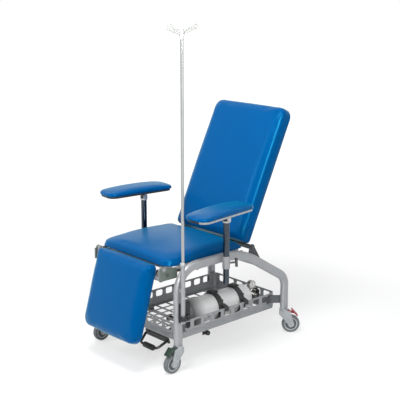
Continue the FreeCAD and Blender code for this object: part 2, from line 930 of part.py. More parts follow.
# Seat board let into the underside of the seat cushion
seat_board = new_body("seat_board")
board_sketch = new_sketch(seat_board, "seat_board_outline", "XY_Plane", "seat_base_z")
rectangle(
    board_sketch,
    "board_margin - seat_half",
    "seat_edge_y + board_margin",
    "seat_half - board_margin",
    "seat_back_y - board_margin",
)
board_pad = pad(seat_board, "seat_board_sheet", board_sketch, "board_thick")
round_edges(seat_board, "seat_board_corners", board_pad, runs_along(Z_AXIS), "board_corner")
doc.recompute()


def recess(shape, low_x, low_y, high_x, high_y, low_z, depth):
    """Hollow in a cushion for its board, with a small gap all round."""
    gap = size.soft_gap
    room = Part.makeBox(
        high_x - low_x + 2 * gap,
        high_y - low_y + 2 * gap,
        depth + size.overrun,
        Vector(low_x - gap, low_y - gap, low_z - size.overrun),
    )
    return shape.cut(room)


seat_shape = cushion(
    -size.seat_half,
    size.seat_edge_y,
    size.seat_half,
    size.seat_back_y,
    size.seat_base_z + size.soft_gap,
    size.seat_thick,
    size.seat_crown,
    size.seat_roll,
    size.seat_corner,
    size.rear_corner,
    size.seat_back_rake,
)
seat_shape = recess(
    seat_shape,
    size.board_margin - size.seat_half,
    size.seat_edge_y + size.board_margin,
    size.seat_half - size.board_margin,
    size.seat_back_y - size.board_margin,
    size.seat_base_z,
    size.board_thick,
)
node("seat_cushion", solid("seat_cushion_solid", seat_shape))

# Backrest, drawn upright about its hinge line and then leaned back
back_place = hinge_place(size.back_pivot_y, size.back_pivot_z, size.back_angle)
hinge_inner_x = size.rail_x - size.tube_wide / 2 - size.hinge_plate
back_torsion_half = hinge_inner_x - size.side_gap
loop_points = [
    Vector(-size.back_tube_x, 0, 0),
    Vector(-size.back_tube_x, 0, size.back_tube_top),
    Vector(size.back_tube_x, 0, size.back_tube_top),
    Vector(size.back_tube_x, 0, 0),
]
back_loop = rod_along(rounded_path(loop_points, size.back_bend), size.back_tube_r)
back_torsion = drum(
    size.back_tube_r,
    Vector(-back_torsion_half, 0, 0),
    X_AXIS * (2 * back_torsion_half),
)
back_cross = drum(
    size.back_tube_r,
    Vector(-size.back_tube_x, 0, size.back_cross_z),
    X_AXIS * (2 * size.back_tube_x),
)
pin_reach = size.rail_x - size.tube_wide / 2 + size.side_gap
back_pieces = [back_torsion, back_cross]
back_pieces.append(drum(size.pivot_pin_r, Vector(-pin_reach, 0, 0), X_AXIS * (2 * pin_reach)))
for sign in (1, -1):
    start = Vector(sign * pin_reach, 0, 0)
    back_pieces.append(drum(size.pin_head_r, start, X_AXIS * (sign * size.pin_head)))
lever_turn = math.radians(size.back_lever_angle)
lever_flat = Vector(0, math.cos(lever_turn), math.sin(lever_turn)) * size.back_lever
lever_back = back_place.Rotation.inverted().multVec(lever_flat)
back_pieces += lug_pair(0.0, lever_back.y, lever_back.z, Vector(), size.spring_pin_r)
back_frame_shape = back_loop.fuse(back_pieces).removeSplitter()
node("backrest_frame", solid("backrest_frame_solid", back_frame_shape), back_place)


def upright(place):
    """Place of a block drawn flat so that its top becomes the front of an upright part."""
    return place.multiply(Placement(Vector(), Rotation(X_AXIS, QUARTER)))


back_board_shape = Part.Face(rounded_outline(
    size.board_margin - size.back_half,
    size.back_low + size.board_margin,
    size.back_half - size.board_margin,
    size.back_low + size.back_length - size.board_margin,
    size.back_tube_r,
    size.board_corner,
    size.board_corner,
)).extrude(Z_AXIS * size.board_thick)
node("backrest_board", solid("backrest_board_solid", back_board_shape), upright(back_place))
back_shape = cushion(
    -size.back_half,
    size.back_low,
    size.back_half,
    size.back_low + size.back_length,
    size.back_tube_r + size.soft_gap,
    size.back_thick,
    size.back_crown,
    size.back_roll,
    size.back_foot_corner,
    size.back_corner,
    0.0,
)
back_shape = recess(
    back_shape,
    size.board_margin - size.back_half,
    size.back_low + size.board_margin,
    size.back_half - size.board_margin,
    size.back_low + size.back_length - size.board_margin,
    size.back_tube_r,
    size.board_thick,
)
node("backrest_cushion", solid("backrest_cushion_solid", back_shape), upright(back_place))

# Backrest hinge plates bolted to the inner flats of the side frames
plate_items = []
for sign in (1, -1):
    inner = Vector(sign * hinge_inner_x, 0, 0)
    along = X_AXIS * (sign * size.hinge_plate)
    eye = Vector(inner.x, size.back_pivot_y, size.back_pivot_z)
    corners = [
        Vector(inner.x, size.hinge_front_y, size.hinge_foot_front_z),
        Vector(inner.x, size.hinge_rear_y, size.hinge_foot_rear_z),
        Vector(inner.x, size.hinge_rear_y, size.hinge_foot_front_z),
        Vector(inner.x, size.back_pivot_y + size.hinge_eye, size.back_pivot_z),
        Vector(inner.x, size.back_pivot_y - size.hinge_eye, size.back_pivot_z),
    ]
    shape = plate(corners, along).fuse(drum(size.hinge_eye, eye, along))
    hole_start = eye - along
    shape = shape.cut(drum(size.pivot_pin_r + size.pin_fit, hole_start, along * 3))
    for step in (size.bolt_step_first, size.bolt_step_last):
        spot = crown_end + slope * step
        shape = shape.cut(drum(size.frame_bolt_r, Vector(inner.x, spot.y, spot.z) - along, along * 3))
    plate_items.append(shape.removeSplitter())
node("backrest_hinge_plates", solid("hinge_plates_solid", Part.makeCompound(plate_items)))

# Legrest, drawn upright about its hinge line and then leaned
rest_place = hinge_place(size.leg_pivot_y, size.leg_pivot_z, size.leg_angle)
rest_tube_y = size.rest_rear + size.rest_tube_r
rest_loop_points = [
    Vector(-size.rest_tube_x, rest_tube_y, -size.rest_top_tube),
    Vector(-size.rest_tube_x, rest_tube_y, -size.rest_tube_foot),
    Vector(size.rest_tube_x, rest_tube_y, -size.rest_tube_foot),
    Vector(size.rest_tube_x, rest_tube_y, -size.rest_top_tube),
]
rest_loop = rod_along(rounded_path(rest_loop_points, size.rest_bend), size.rest_tube_r)
rest_pieces = [drum(
    size.rest_tube_r,
    Vector(-size.rest_arm_x, rest_tube_y, -size.rest_top_tube),
    X_AXIS * (2 * size.rest_arm_x),
)]
plate_outer_reach = size.plate_x + size.side_gap
for sign in (1, -1):
    along = X_AXIS * (-sign * size.rest_arm)
    foot = Vector(sign * size.rest_arm_x, rest_tube_y, -size.rest_top_tube)
    eye = Vector(sign * size.rest_arm_x, 0, 0)
    rest_pieces.append(strip(foot, eye, size.rest_arm_eye, along))
    pin_start = Vector(sign * (size.rest_arm_x - size.rest_arm), 0, 0)
    pin_long = plate_outer_reach - size.rest_arm_x + size.rest_arm
    rest_pieces.append(drum(size.rest_pin_r, pin_start, X_AXIS * (sign * pin_long)))
    cap_start = Vector(sign * plate_outer_reach, 0, 0)
    rest_pieces.append(drum(size.pin_head_r, cap_start, X_AXIS * (sign * size.pin_head)))
lever_turn = math.radians(size.leg_lever_angle)
lever_length = size.leg_lever
lever_flat = Vector(0, math.sin(lever_turn), -math.cos(lever_turn)) * lever_length
lever_rest = rest_place.Rotation.inverted().multVec(lever_flat)
rest_lug_y = size.rest_rear + size.lug_r + size.side_gap
rest_pieces += lug_pair(
    size.leg_spring_x,
    lever_rest.y,
    lever_rest.z,
    Vector(0, rest_lug_y, -size.rest_top_tube),
    size.spring_pin_r,
)
rest_frame_shape = rest_loop.fuse(rest_pieces).removeSplitter()
node("legrest_frame", solid("legrest_frame_solid", rest_frame_shape), rest_place)
rest_low = size.rest_top - size.rest_length
rest_board_shape = Part.Face(rounded_outline(
    size.board_margin - size.rest_half,
    rest_low + size.board_margin,
    size.rest_half - size.board_margin,
    size.rest_top - size.board_margin,
    -size.rest_rear,
    size.board_corner,
    size.board_corner,
)).extrude(Z_AXIS * size.board_thick)
node("legrest_board", solid("legrest_board_solid", rest_board_shape), upright(rest_place))
rest_thick = size.rest_front + size.rest_rear - size.soft_gap - size.rest_crown
rest_shape = cushion(
    -size.rest_half,
    rest_low,
    size.rest_half,
    size.rest_top,
    size.soft_gap - size.rest_rear,
    rest_thick,
    size.rest_crown,
    size.rest_roll,
    size.rest_corner,
    size.back_foot_corner,
    0.0,
)
rest_shape = recess(
    rest_shape,
    size.board_margin - size.rest_half,
    rest_low + size.board_margin,
    size.rest_half - size.board_margin,
    size.rest_top - size.board_margin,
    -size.rest_rear,
    size.board_thick,
)
node("legrest_cushion", solid("legrest_cushion_solid", rest_shape), upright(rest_place))

# Legrest hinge plates welded to the front corners of the seat frame
doc.recompute()
plate_items = []
bolt_shapes = []
for sign in (1, -1):
    inner = sign * (size.plate_x - size.plate_thick)
    along = X_AXIS * (sign * size.plate_thick)
    corners = [
        Vector(inner, size.plate_front_y, size.plate_low_z),
        Vector(inner, size.plate_rear_y, size.plate_low_z),
        Vector(inner, size.plate_rear_y, size.plate_top_z),
        Vector(inner, size.plate_front_y, size.plate_top_z),
    ]
    eye = Vector(inner, size.leg_pivot_y, size.leg_pivot_z)
    shape = plate(corners, along).fuse(drum(size.rest_arm_eye, eye, along))
    shape = shape.cut(drum(size.rest_pin_r + size.pin_fit, eye - along, along * 3))
    spot = Vector(inner, size.plate_bolt_y, size.plate_bolt_z)
    shape = shape.cut(drum(size.frame_bolt_r, spot - along, along * 3))
    shape = shape.cut(seat_ring.Shape).removeSplitter()
    plate_items.append(shape)
    shank = drum(size.frame_bolt_r, spot, along)
    head = drum(size.frame_bolt_head_r, spot + along, X_AXIS * (sign * size.frame_bolt_head))
    bolt_shapes.append(shank.fuse(head).removeSplitter())
    for step in (size.bolt_step_first, size.bolt_step_last):
        place = crown_end + slope * step
        start = Vector(sign * hinge_inner_x, place.y, place.z)
        head_along = X_AXIS * (-sign * size.frame_bolt_head)
        shank = drum(size.frame_bolt_r, start, X_AXIS * (sign * size.frame_bolt_grip))
        bolt_shapes.append(shank.fuse(drum(size.frame_bolt_head_r, start, head_along)).removeSplitter())
node("legrest_hinge_plates", solid("leg_plates_solid", Part.makeCompound(plate_items)))
node("frame_bolts", solid("frame_bolts_solid", Part.makeCompound(bolt_shapes)))

# Cross tube between the sloping rails with the lugs of the backrest gas spring
cross_half = size.rail_x - size.tube_wide / 2
cross_centre = Vector(0, size.cross_tube_y, size.cross_tube_z)
cross_tube = drum(
    size.cross_tube_r,
    Vector(-cross_half, size.cross_tube_y, size.cross_tube_z),
    X_AXIS * (2 * cross_half),
)
cross_lugs = lug_pair(
    0.0,
    size.back_spring_y,
    size.back_spring_z,
    cross_centre,
    size.spring_pin_r,
)
node("rear_cross_tube", solid("rear_cross_solid", cross_tube.fuse(cross_lugs).removeSplitter()))


def gas_spring(label, anchor, tip, body_long, rod_long, slot_travel):
    """Gas spring from its anchor eye to a tip whose eye is a slot across the rod."""
    heading = (tip - anchor).normalize()
    side = Vector(0, -heading.z, heading.y)
    eye_half = X_AXIS * (size.spring_eye_wide / 2)
    eye = drum(size.spring_eye_r, anchor - eye_half, eye_half * 2)
    neck_long = size.lug_r + size.spring_neck
    neck_r = size.spring_eye_wide / 2 - size.lug_gap
    neck = drum(neck_r, anchor, heading * (neck_long + size.overrun))
    barrel = drum(size.spring_r, anchor + heading * neck_long, heading * (body_long - neck_long))
    shape = eye.fuse([neck, barrel])
    bore_start = anchor + heading * (neck_long + size.lug_gap)
    shape = shape.cut(drum(size.spring_rod_r + size.spring_fit, bore_start, heading * body_long))
    shape = shape.cut(drum(size.spring_pin_r + size.pin_fit, anchor - eye_half * 2, eye_half * 4))
    node(label + "_cylinder", solid(label + "_cylinder_solid", shape.removeSplitter()))
    rod_start = tip - heading * rod_long
    rod = drum(size.spring_rod_r, rod_start, heading * rod_long)
    far_end = tip + side * slot_travel
    slot_r = size.spring_pin_r + size.slot_fit
    slot = strip(tip - eye_half * 2, far_end - eye_half * 2, slot_r, eye_half * 4)
    long_eye = strip(tip - eye_half, far_end - eye_half, size.slot_eye_r, eye_half * 2)
    shape = rod.fuse(long_eye).cut(slot).removeSplitter()
    node(label + "_rod", solid(label + "_rod_solid", shape))


leg_tip = Vector(size.leg_spring_x, size.leg_pivot_y, size.leg_pivot_z)
leg_tip = leg_tip + rest_place.Rotation.multVec(Vector(0, lever_rest.y, lever_rest.z))
leg_anchor = Vector(size.leg_spring_x, size.leg_spring_y, size.leg_spring_z)
gas_spring(
    "leg_spring",
    leg_anchor,
    leg_tip,
    size.leg_spring_body,
    size.leg_spring_rod,
    size.leg_slot,
)
back_tip = Vector(0, size.back_pivot_y, size.back_pivot_z)
back_tip = back_tip + back_place.Rotation.multVec(Vector(0, lever_back.y, lever_back.z))
back_anchor = Vector(0, size.back_spring_y, size.back_spring_z)
gas_spring(
    "back_spring",
    back_anchor,
    back_tip,
    size.back_spring_body,
    size.back_spring_rod,
    size.back_slot,
)

# Tray of folded sheet: rows of windows in the walls and a punched grid in the floor
SIDE_WINDOWS = 9
END_WINDOWS = 6
SLOT_ROWS = 8
SLOT_COLUMNS = 9
tray = new_body("tray")
sheet_outline = new_sketch(tray, "tray_outline", "XY_Plane", "tray_low_z")
rectangle(sheet_outline, "-tray_half", "tray_front_y", "tray_half", "tray_rear_y")
tray_block = pad(tray, "tray_block", sheet_outline, "tray_height")
tray_round = round_edges(tray, "tray_corners", tray_block, runs_along(Z_AXIS), "tray_corner")
doc.recompute()
top_faces = []
for index, face in enumerate(tray_round.Shape.Faces, start=1):
    if face.BoundBox.ZMin > size.tray_low_z + size.tray_height - size.pin_fit:
        top_faces.append("Face%d" % index)
hollow = tray.newObject("PartDesign::Thickness", "tray_shell")
hollow.Base = (tray_round, top_faces)
bind(hollow, "Value", "tray_sheet")
hollow.Reversed = True
tray.Tip = hollow
doc.recompute()


def window_row(name, role, start, low, long, tall, depth, pitch, count):
    sketch = new_sketch(tray, name + "_outline", role)
    rectangle(sketch, start, low, start + " + " + long, low + " + " + tall)
    row = pocket(tray, name, sketch, depth, midplane=True)
    tray.Tip = row
    doc.recompute()
    return row_pattern(tray, name + "_row", row, sketch, "H_Axis", pitch, count)


window_row(
    "side_windows",
    "YZ_Plane",
    "tray_front_y + window_side_start",
    "tray_low_z + window_low",
    "window_long",
    "window_tall",
    "2 * tray_half + 2 * overrun",
    "%d * window_pitch" % (SIDE_WINDOWS - 1),
    SIDE_WINDOWS,
)
end_sketch = new_sketch(tray, "end_windows_outline", "XZ_Plane")
end_start = "-%d * window_end_pitch / 2 - window_long / 2" % (END_WINDOWS - 1)
end_left = -(END_WINDOWS - 1) * size.window_end_pitch / 2 - size.window_long / 2
window_z = size.tray_low_z + size.window_low
corners = [
    (end_left, window_z),
    (end_left + size.window_long, window_z),
    (end_left + size.window_long, window_z + size.window_tall),
    (end_left, window_z + size.window_tall),
]
outline(end_sketch, corners)
end_row = pocket(
    tray,
    "end_windows",
    end_sketch,
    "2 * tray_rear_y + 2 * overrun",
    midplane=True,
)
tray.Tip = end_row
doc.recompute()
end_pattern = row_pattern(
    tray,
    "end_windows_row",
    end_row,
    end_sketch,
    "H_Axis",
    "%d * window_end_pitch" % (END_WINDOWS - 1),
    END_WINDOWS,
)
slot_sketch = new_sketch(tray, "floor_slot_outline", "XY_Plane", "tray_low_z - overrun")
slot_left = -(SLOT_ROWS - 1) * size.slot_row_pitch / 2 - size.slot_wide / 2
slot_low = size.tray_front_y + size.slot_start_y
corners = [
    (slot_left, slot_low),
    (slot_left + size.slot_wide, slot_low),
    (slot_left + size.slot_wide, slot_low + size.slot_long),
    (slot_left, slot_low + size.slot_long),
]
outline(slot_sketch, corners)
slot = pocket(tray, "floor_slot", slot_sketch, "tray_sheet + 2 * overrun", backward=True)
tray.Tip = slot
doc.recompute()
grid = tray.newObject("PartDesign::MultiTransform", "floor_grid")
grid.Originals = [slot]
along_row = tray.newObject("PartDesign::LinearPattern", "floor_grid_row")
along_row.Direction = (slot_sketch, ["H_Axis"])
bind(along_row, "Length", "%d * slot_row_pitch" % (SLOT_ROWS - 1))
along_row.Occurrences = SLOT_ROWS
along_column = tray.newObject("PartDesign::LinearPattern", "floor_grid_column")
along_column.Direction = (slot_sketch, ["V_Axis"])
bind(along_column, "Length", "%d * slot_pitch" % (SLOT_COLUMNS - 1))
along_column.Occurrences = SLOT_COLUMNS
grid.Transformations = [along_row, along_column]
tray.Tip = grid
doc.recompute()


def window_corner_edge(edge):
    """Pick the short edges through the sheet at the corners of the wall windows."""
    if edge.Curve.TypeId != "Part::GeomLine":
        return False
    if abs(edge.Length - size.tray_sheet) > size.pin_fit:
        return False
    if abs(edge.Curve.Direction.z) > size.pin_fit:
        return False
    middle = edge.CenterOfMass
    return middle.z > window_z - size.overrun


round_edges(tray, "window_corners", grid, window_corner_edge, "window_corner")

# Tray brackets: bent plates from the side walls of the tray to the legs
bracket_shapes = []
bracket_rise = Z_AXIS * (size.bracket_top_z - size.bracket_low_z)
leg_inner = size.rail_x - size.tube_wide / 2
flat_half = size.tube_deep / 2 - size.tube_wide / 2
for sign in (1, -1):
    for end in (1, -1):
        wall_end = (size.tray_rear_y if end > 0 else size.tray_front_y) - end * size.bracket_setback
        wall_start = wall_end - end * size.bracket_flange
        leg_near = end * (size.leg_y - flat_half)
        leg_far = end * (size.leg_y + flat_half)
        thick = size.bracket_thick
        points = [
            Vector(sign * size.tray_half, wall_start, size.bracket_low_z),
            Vector(sign * size.tray_half, wall_end, size.bracket_low_z),
            Vector(sign * (leg_inner - thick), leg_near, size.bracket_low_z),
            Vector(sign * (leg_inner - thick), leg_far, size.bracket_low_z),
            Vector(sign * leg_inner, leg_far, size.bracket_low_z),
            Vector(sign * leg_inner, leg_near - end * thick, size.bracket_low_z),
            Vector(sign * (size.tray_half + thick), wall_end - end * thick, size.bracket_low_z),
            Vector(sign * (size.tray_half + thick), wall_start, size.bracket_low_z),
        ]
        bracket_shapes.append(plate(points, bracket_rise))
node("tray_brackets", solid("tray_brackets_solid", Part.makeCompound(bracket_shapes)))

# Oxygen cylinder lying on the tray floor
gas_z = size.tray_low_z + size.tray_sheet + size.gas_r + size.boot_wall


def domed(radius, straight_start, straight_end, dome, tip_r, tip_end):
    """Body of revolution about Y: flat foot, straight wall, dome and neck."""
    points = [
        Vector(0, straight_start, 0),
        Vector(radius - dome / 2, straight_start, 0),
        Vector(radius, straight_start + dome / 2, 0),
        Vector(radius, straight_end, 0),
    ]
    edges = [
        Part.makeLine(points[0], points[1]),
        Part.makeLine(points[1], points[2]),
        Part.makeLine(points[2], points[3]),
    ]
    shoulder = Vector(tip_r, straight_end + dome, 0)
    turn = math.radians(size.gas_dome_angle)
    middle = Vector(
        tip_r + (radius - tip_r) * math.sin(turn),
        straight_end + dome * math.cos(turn),
        0,
    )
    edges.append(Part.Arc(points[3], middle, shoulder).toShape())
    edges.append(Part.makeLine(shoulder, Vector(tip_r, tip_end, 0)))
    edges.append(Part.makeLine(Vector(tip_r, tip_end, 0), Vector(0, tip_end, 0)))
    edges.append(Part.makeLine(Vector(0, tip_end, 0), points[0]))
    face = Part.Face(Part.Wire(edges))
    return face.revolve(Vector(), Y_AXIS, FULL_TURN)


gas_shape = domed(
    size.gas_r,
    size.gas_front_y,
    size.gas_shoulder_y,
    size.gas_dome,
    size.gas_neck_r,
    size.gas_neck_y,
)
gas_shape.translate(Vector(size.gas_x, 0, gas_z))
node("gas_cylinder", solid("gas_cylinder_solid", gas_shape))
boot_r = size.gas_r + size.boot_wall
boot_points = [
    Vector(0, size.boot_front_y, 0),
    Vector(boot_r - size.boot_dome, size.boot_front_y, 0),
    Vector(boot_r, size.boot_front_y + size.boot_dome, 0),
    Vector(boot_r, size.boot_rear_y, 0),
    Vector(0, size.boot_rear_y, 0),
]
boot_shape = Part.Face(Part.makePolygon(boot_points + [boot_points[0]])).revolve(Vector(), Y_AXIS, FULL_TURN)
boot_shape.translate(Vector(size.gas_x, 0, gas_z))
node("cylinder_boot", solid("cylinder_boot_solid", boot_shape.cut(gas_shape)))
strap_shapes = []
buckle_shapes = []
for place in (size.strap_first_y, size.strap_last_y):
    start = Vector(size.gas_x, place - size.strap_wide / 2, gas_z)
    band = drum(boot_r, start, Y_AXIS * size.strap_wide)
    band = band.cut(drum(size.gas_r, start, Y_AXIS * size.strap_wide))
    strap_shapes.append(band)
    block = Part.makeBox(
        size.buckle_long,
        size.buckle_wide,
        size.buckle_tall + size.buckle_gap,
        Vector(size.gas_x - size.buckle_long / 2, place - size.buckle_wide / 2, gas_z + size.gas_r),
    )
    buckle_shapes.append(block.cut(drum(boot_r, start - Y_AXIS * size.strap_wide, Y_AXIS * 4 * size.strap_wide)))
node("cylinder_straps", solid("cylinder_straps_solid", Part.makeCompound(strap_shapes)))
node("strap_buckles", solid("strap_buckles_solid", Part.makeCompound(buckle_shapes)))

# Cylinder valve with a contents gauge, a hose outlet and a handwheel
valve_items = [
    box(
        "valve_block_body",
        "gas_x - valve_block / 2",
        "gas_neck_y",
        "tray_low_z + tray_sheet + gas_r + boot_wall - valve_block / 2",
        "valve_block",
        "valve_long",
        "valve_block",
    ),
    cylinder(
        "valve_spindle",
        Y_AXIS,
        "gas_x",
        "gas_neck_y + valve_long",
        "tray_low_z + tray_sheet + gas_r + boot_wall",
        "valve_stem_r",
        "valve_stem + wheel_knob",
    ),
    cylinder(
        "gauge_pillar",
        Z_AXIS,
        "gas_x",
        "gas_neck_y + valve_long / 2",
        "tray_low_z + tray_sheet + gas_r + boot_wall",
        "outlet_r",
        "gauge_rise",
    ),
    cylinder(
        "gauge_case",
        X_AXIS,
        "gas_x - gauge_thick / 2",
        "gas_neck_y + valve_long / 2",
        "tray_low_z + tray_sheet + gas_r + boot_wall + gauge_rise",
        "gauge_r",
        "gauge_thick",
    ),
    cylinder(
        "hose_outlet",
        X_AXIS,
        "gas_x + valve_block / 2",
        "gas_neck_y + valve_long / 2",
        "tray_low_z + tray_sheet + gas_r + boot_wall",
        "outlet_r",
        "outlet_long",
    ),
]
node("valve_body", fuse("valve_body_solid", valve_items))
knob = new_body("valve_handwheel")
knob_sketch = new_sketch(knob, "handwheel_disc", "XY_Plane")
circle(knob_sketch, "0", "0", "wheel_knob_r")
circle(knob_sketch, "0", "0", "valve_stem_r + pin_fit")
knob_pad = pad(knob, "handwheel_pad", knob_sketch, "wheel_knob")
flute_sketch = new_sketch(knob, "handwheel_flute_outline", "XY_Plane")
circle(flute_sketch, "wheel_knob_r", "0", "wheel_knob_flute")
flute = pocket(knob, "handwheel_flute", flute_sketch, "wheel_knob", backward=True)
knob.Tip = flute
doc.recompute()
flutes = knob.newObject("PartDesign::PolarPattern", "handwheel_flutes")
flutes.Originals = [flute]
flutes.Axis = (knob_sketch, ["N_Axis"])
flutes.Angle = FULL_TURN
flutes.Occurrences = 6
knob.Tip = flutes
knob.Placement = Placement(Vector(), Rotation(Z_AXIS, Y_AXIS))
place_at(
    knob,
    "gas_x",
    "gas_neck_y + valve_long + valve_stem - wheel_knob_gap",
    "tray_low_z + tray_sheet + gas_r + boot_wall",
)

# Foot pedal below the tray: lugs, axle, end caps, sprung frame and tread
lug_shapes = []
for place in (-size.lug_outer, size.lug_inner_left, size.lug_inner_right, size.lug_outer):
    start = place - size.lug_plate / 2
    low_z = size.axle_z - size.lug_drop
    hanger = Part.makeBox(
        size.lug_plate,
        2 * size.lug_plate_half,
        size.tray_low_z - low_z,
        Vector(start, size.axle_y - size.lug_plate_half, low_z),
    )
    hole = drum(size.axle_r, Vector(start, size.axle_y, size.axle_z), X_AXIS * size.lug_plate)
    lug_shapes.append(hanger.cut(hole))
node("pedal_lugs", solid("pedal_lugs_solid", Part.makeCompound(lug_shapes)))
node("pedal_axle", cylinder(
    "pedal_axle_bar",
    X_AXIS,
    "-axle_half",
    "axle_y",
    "axle_z",
    "axle_r",
    "2 * axle_half",
))
cap_items = []
for sign, tag in ((1, "left"), (-1, "right")):
    cap_items.append(cone(
        "axle_cap_" + tag,
        X_AXIS * sign,
        "axle_half" if sign > 0 else "-axle_half",
        "axle_y",
        "axle_z",
        "cap_r",
        "cap_r - tray_sheet",
        "cap_long",
    ))
cap_group = doc.addObject("Part::Compound", "axle_caps_pair")
cap_group.Links = cap_items
node("axle_caps", cap_group)

# The pedal is drawn level in front of its axle and then tipped down
pedal_place = Placement(Vector(0, size.axle_y, size.axle_z), Rotation(X_AXIS, size.pedal_angle))
hub_long = size.pedal_hub_right - size.pedal_hub_left
hub = drum(size.pedal_hub_r, Vector(size.pedal_hub_left, 0, 0), X_AXIS * hub_long)
arm = Part.makeBox(
    2 * size.pedal_arm_half,
    size.pedal_cross,
    size.pedal_arm_thick,
    Vector(size.pedal_arm_x - size.pedal_arm_half, -size.pedal_cross, -size.pedal_arm_thick / 2),
)
crossbar = Part.makeBox(
    size.pedal_cross_right - size.pedal_cross_left,
    size.pedal_cross_thick,
    size.pedal_cross_tall,
    Vector(size.pedal_cross_left, -size.pedal_cross, -size.pedal_cross_tall / 2),
)
hoop_start_y = size.pedal_cross_thick - size.pedal_cross
hoop_points = [
    Vector(size.pedal_cross_left + size.pedal_rod_r, hoop_start_y, 0),
    Vector(size.pedal_cross_left + size.pedal_rod_r, -size.pedal_cross - size.pedal_rod_r, 0),
    Vector(size.pedal_front_left, -size.pedal_reach, 0),
    Vector(size.pedal_front_right - size.pedal_rod_r, -size.pedal_reach, 0),
    Vector(size.pedal_cross_right - size.pedal_rod_r, hoop_start_y, 0),
]
hoop = rod_along(rounded_path(hoop_points[1:], size.pedal_bend), size.pedal_rod_r)
pedal_shape = hub.fuse([arm, crossbar, hoop]).cut(drum(
    size.axle_r + size.pin_fit,
    Vector(size.pedal_hub_left - size.overrun, 0, 0),
    X_AXIS * (hub_long + 2 * size.overrun),
)).removeSplitter()
tread_long = size.tread_right - size.tread_left
tread = drum(size.tread_r, Vector(size.tread_left, -size.pedal_reach, 0), X_AXIS * tread_long)
tread = tread.cut(drum(
    size.pedal_rod_r,
    Vector(size.tread_left - size.overrun, -size.pedal_reach, 0),
    X_AXIS * (tread_long + 2 * size.overrun),
))
node("pedal_frame", solid("pedal_frame_solid", pedal_shape), pedal_place)
node("pedal_tread", solid("pedal_tread_solid", tread), pedal_place)

# Arm sockets welded to the outer flats of the rails
socket_shapes = []
for sign in (1, -1):
    centre = Vector(sign * size.post_x, size.post_y, size.socket_low_z)
    height = size.socket_top_z - size.socket_low_z
    sleeve = drum(size.socket_r, centre, Z_AXIS * height)
    weld_low = size.rail_z - flat_half
    weld_start = size.rail_x + size.tube_wide / 2
    weld_x = weld_start if sign > 0 else -size.post_x
    weld = Part.makeBox(
        size.post_x - weld_start,
        size.socket_weld,
        2 * flat_half,
        Vector(weld_x, size.post_y - size.socket_weld / 2, weld_low),
    )
    bore = drum(size.post_r + size.pin_fit, centre - Z_AXIS * size.overrun, Z_AXIS * 2 * height)
    turn = math.radians(size.screw_angle)
    heading = Vector(sign * math.cos(turn), math.sin(turn), 0)
    screw_base = Vector(centre.x, centre.y, size.screw_z)
    tapped = drum(size.screw_r + size.pin_fit, screw_base, heading * 2 * size.socket_r)
    socket_shapes.append(sleeve.fuse(weld).cut([bore, tapped]).removeSplitter())
node("arm_sockets", solid("arm_sockets_solid", Part.makeCompound(socket_shapes)))


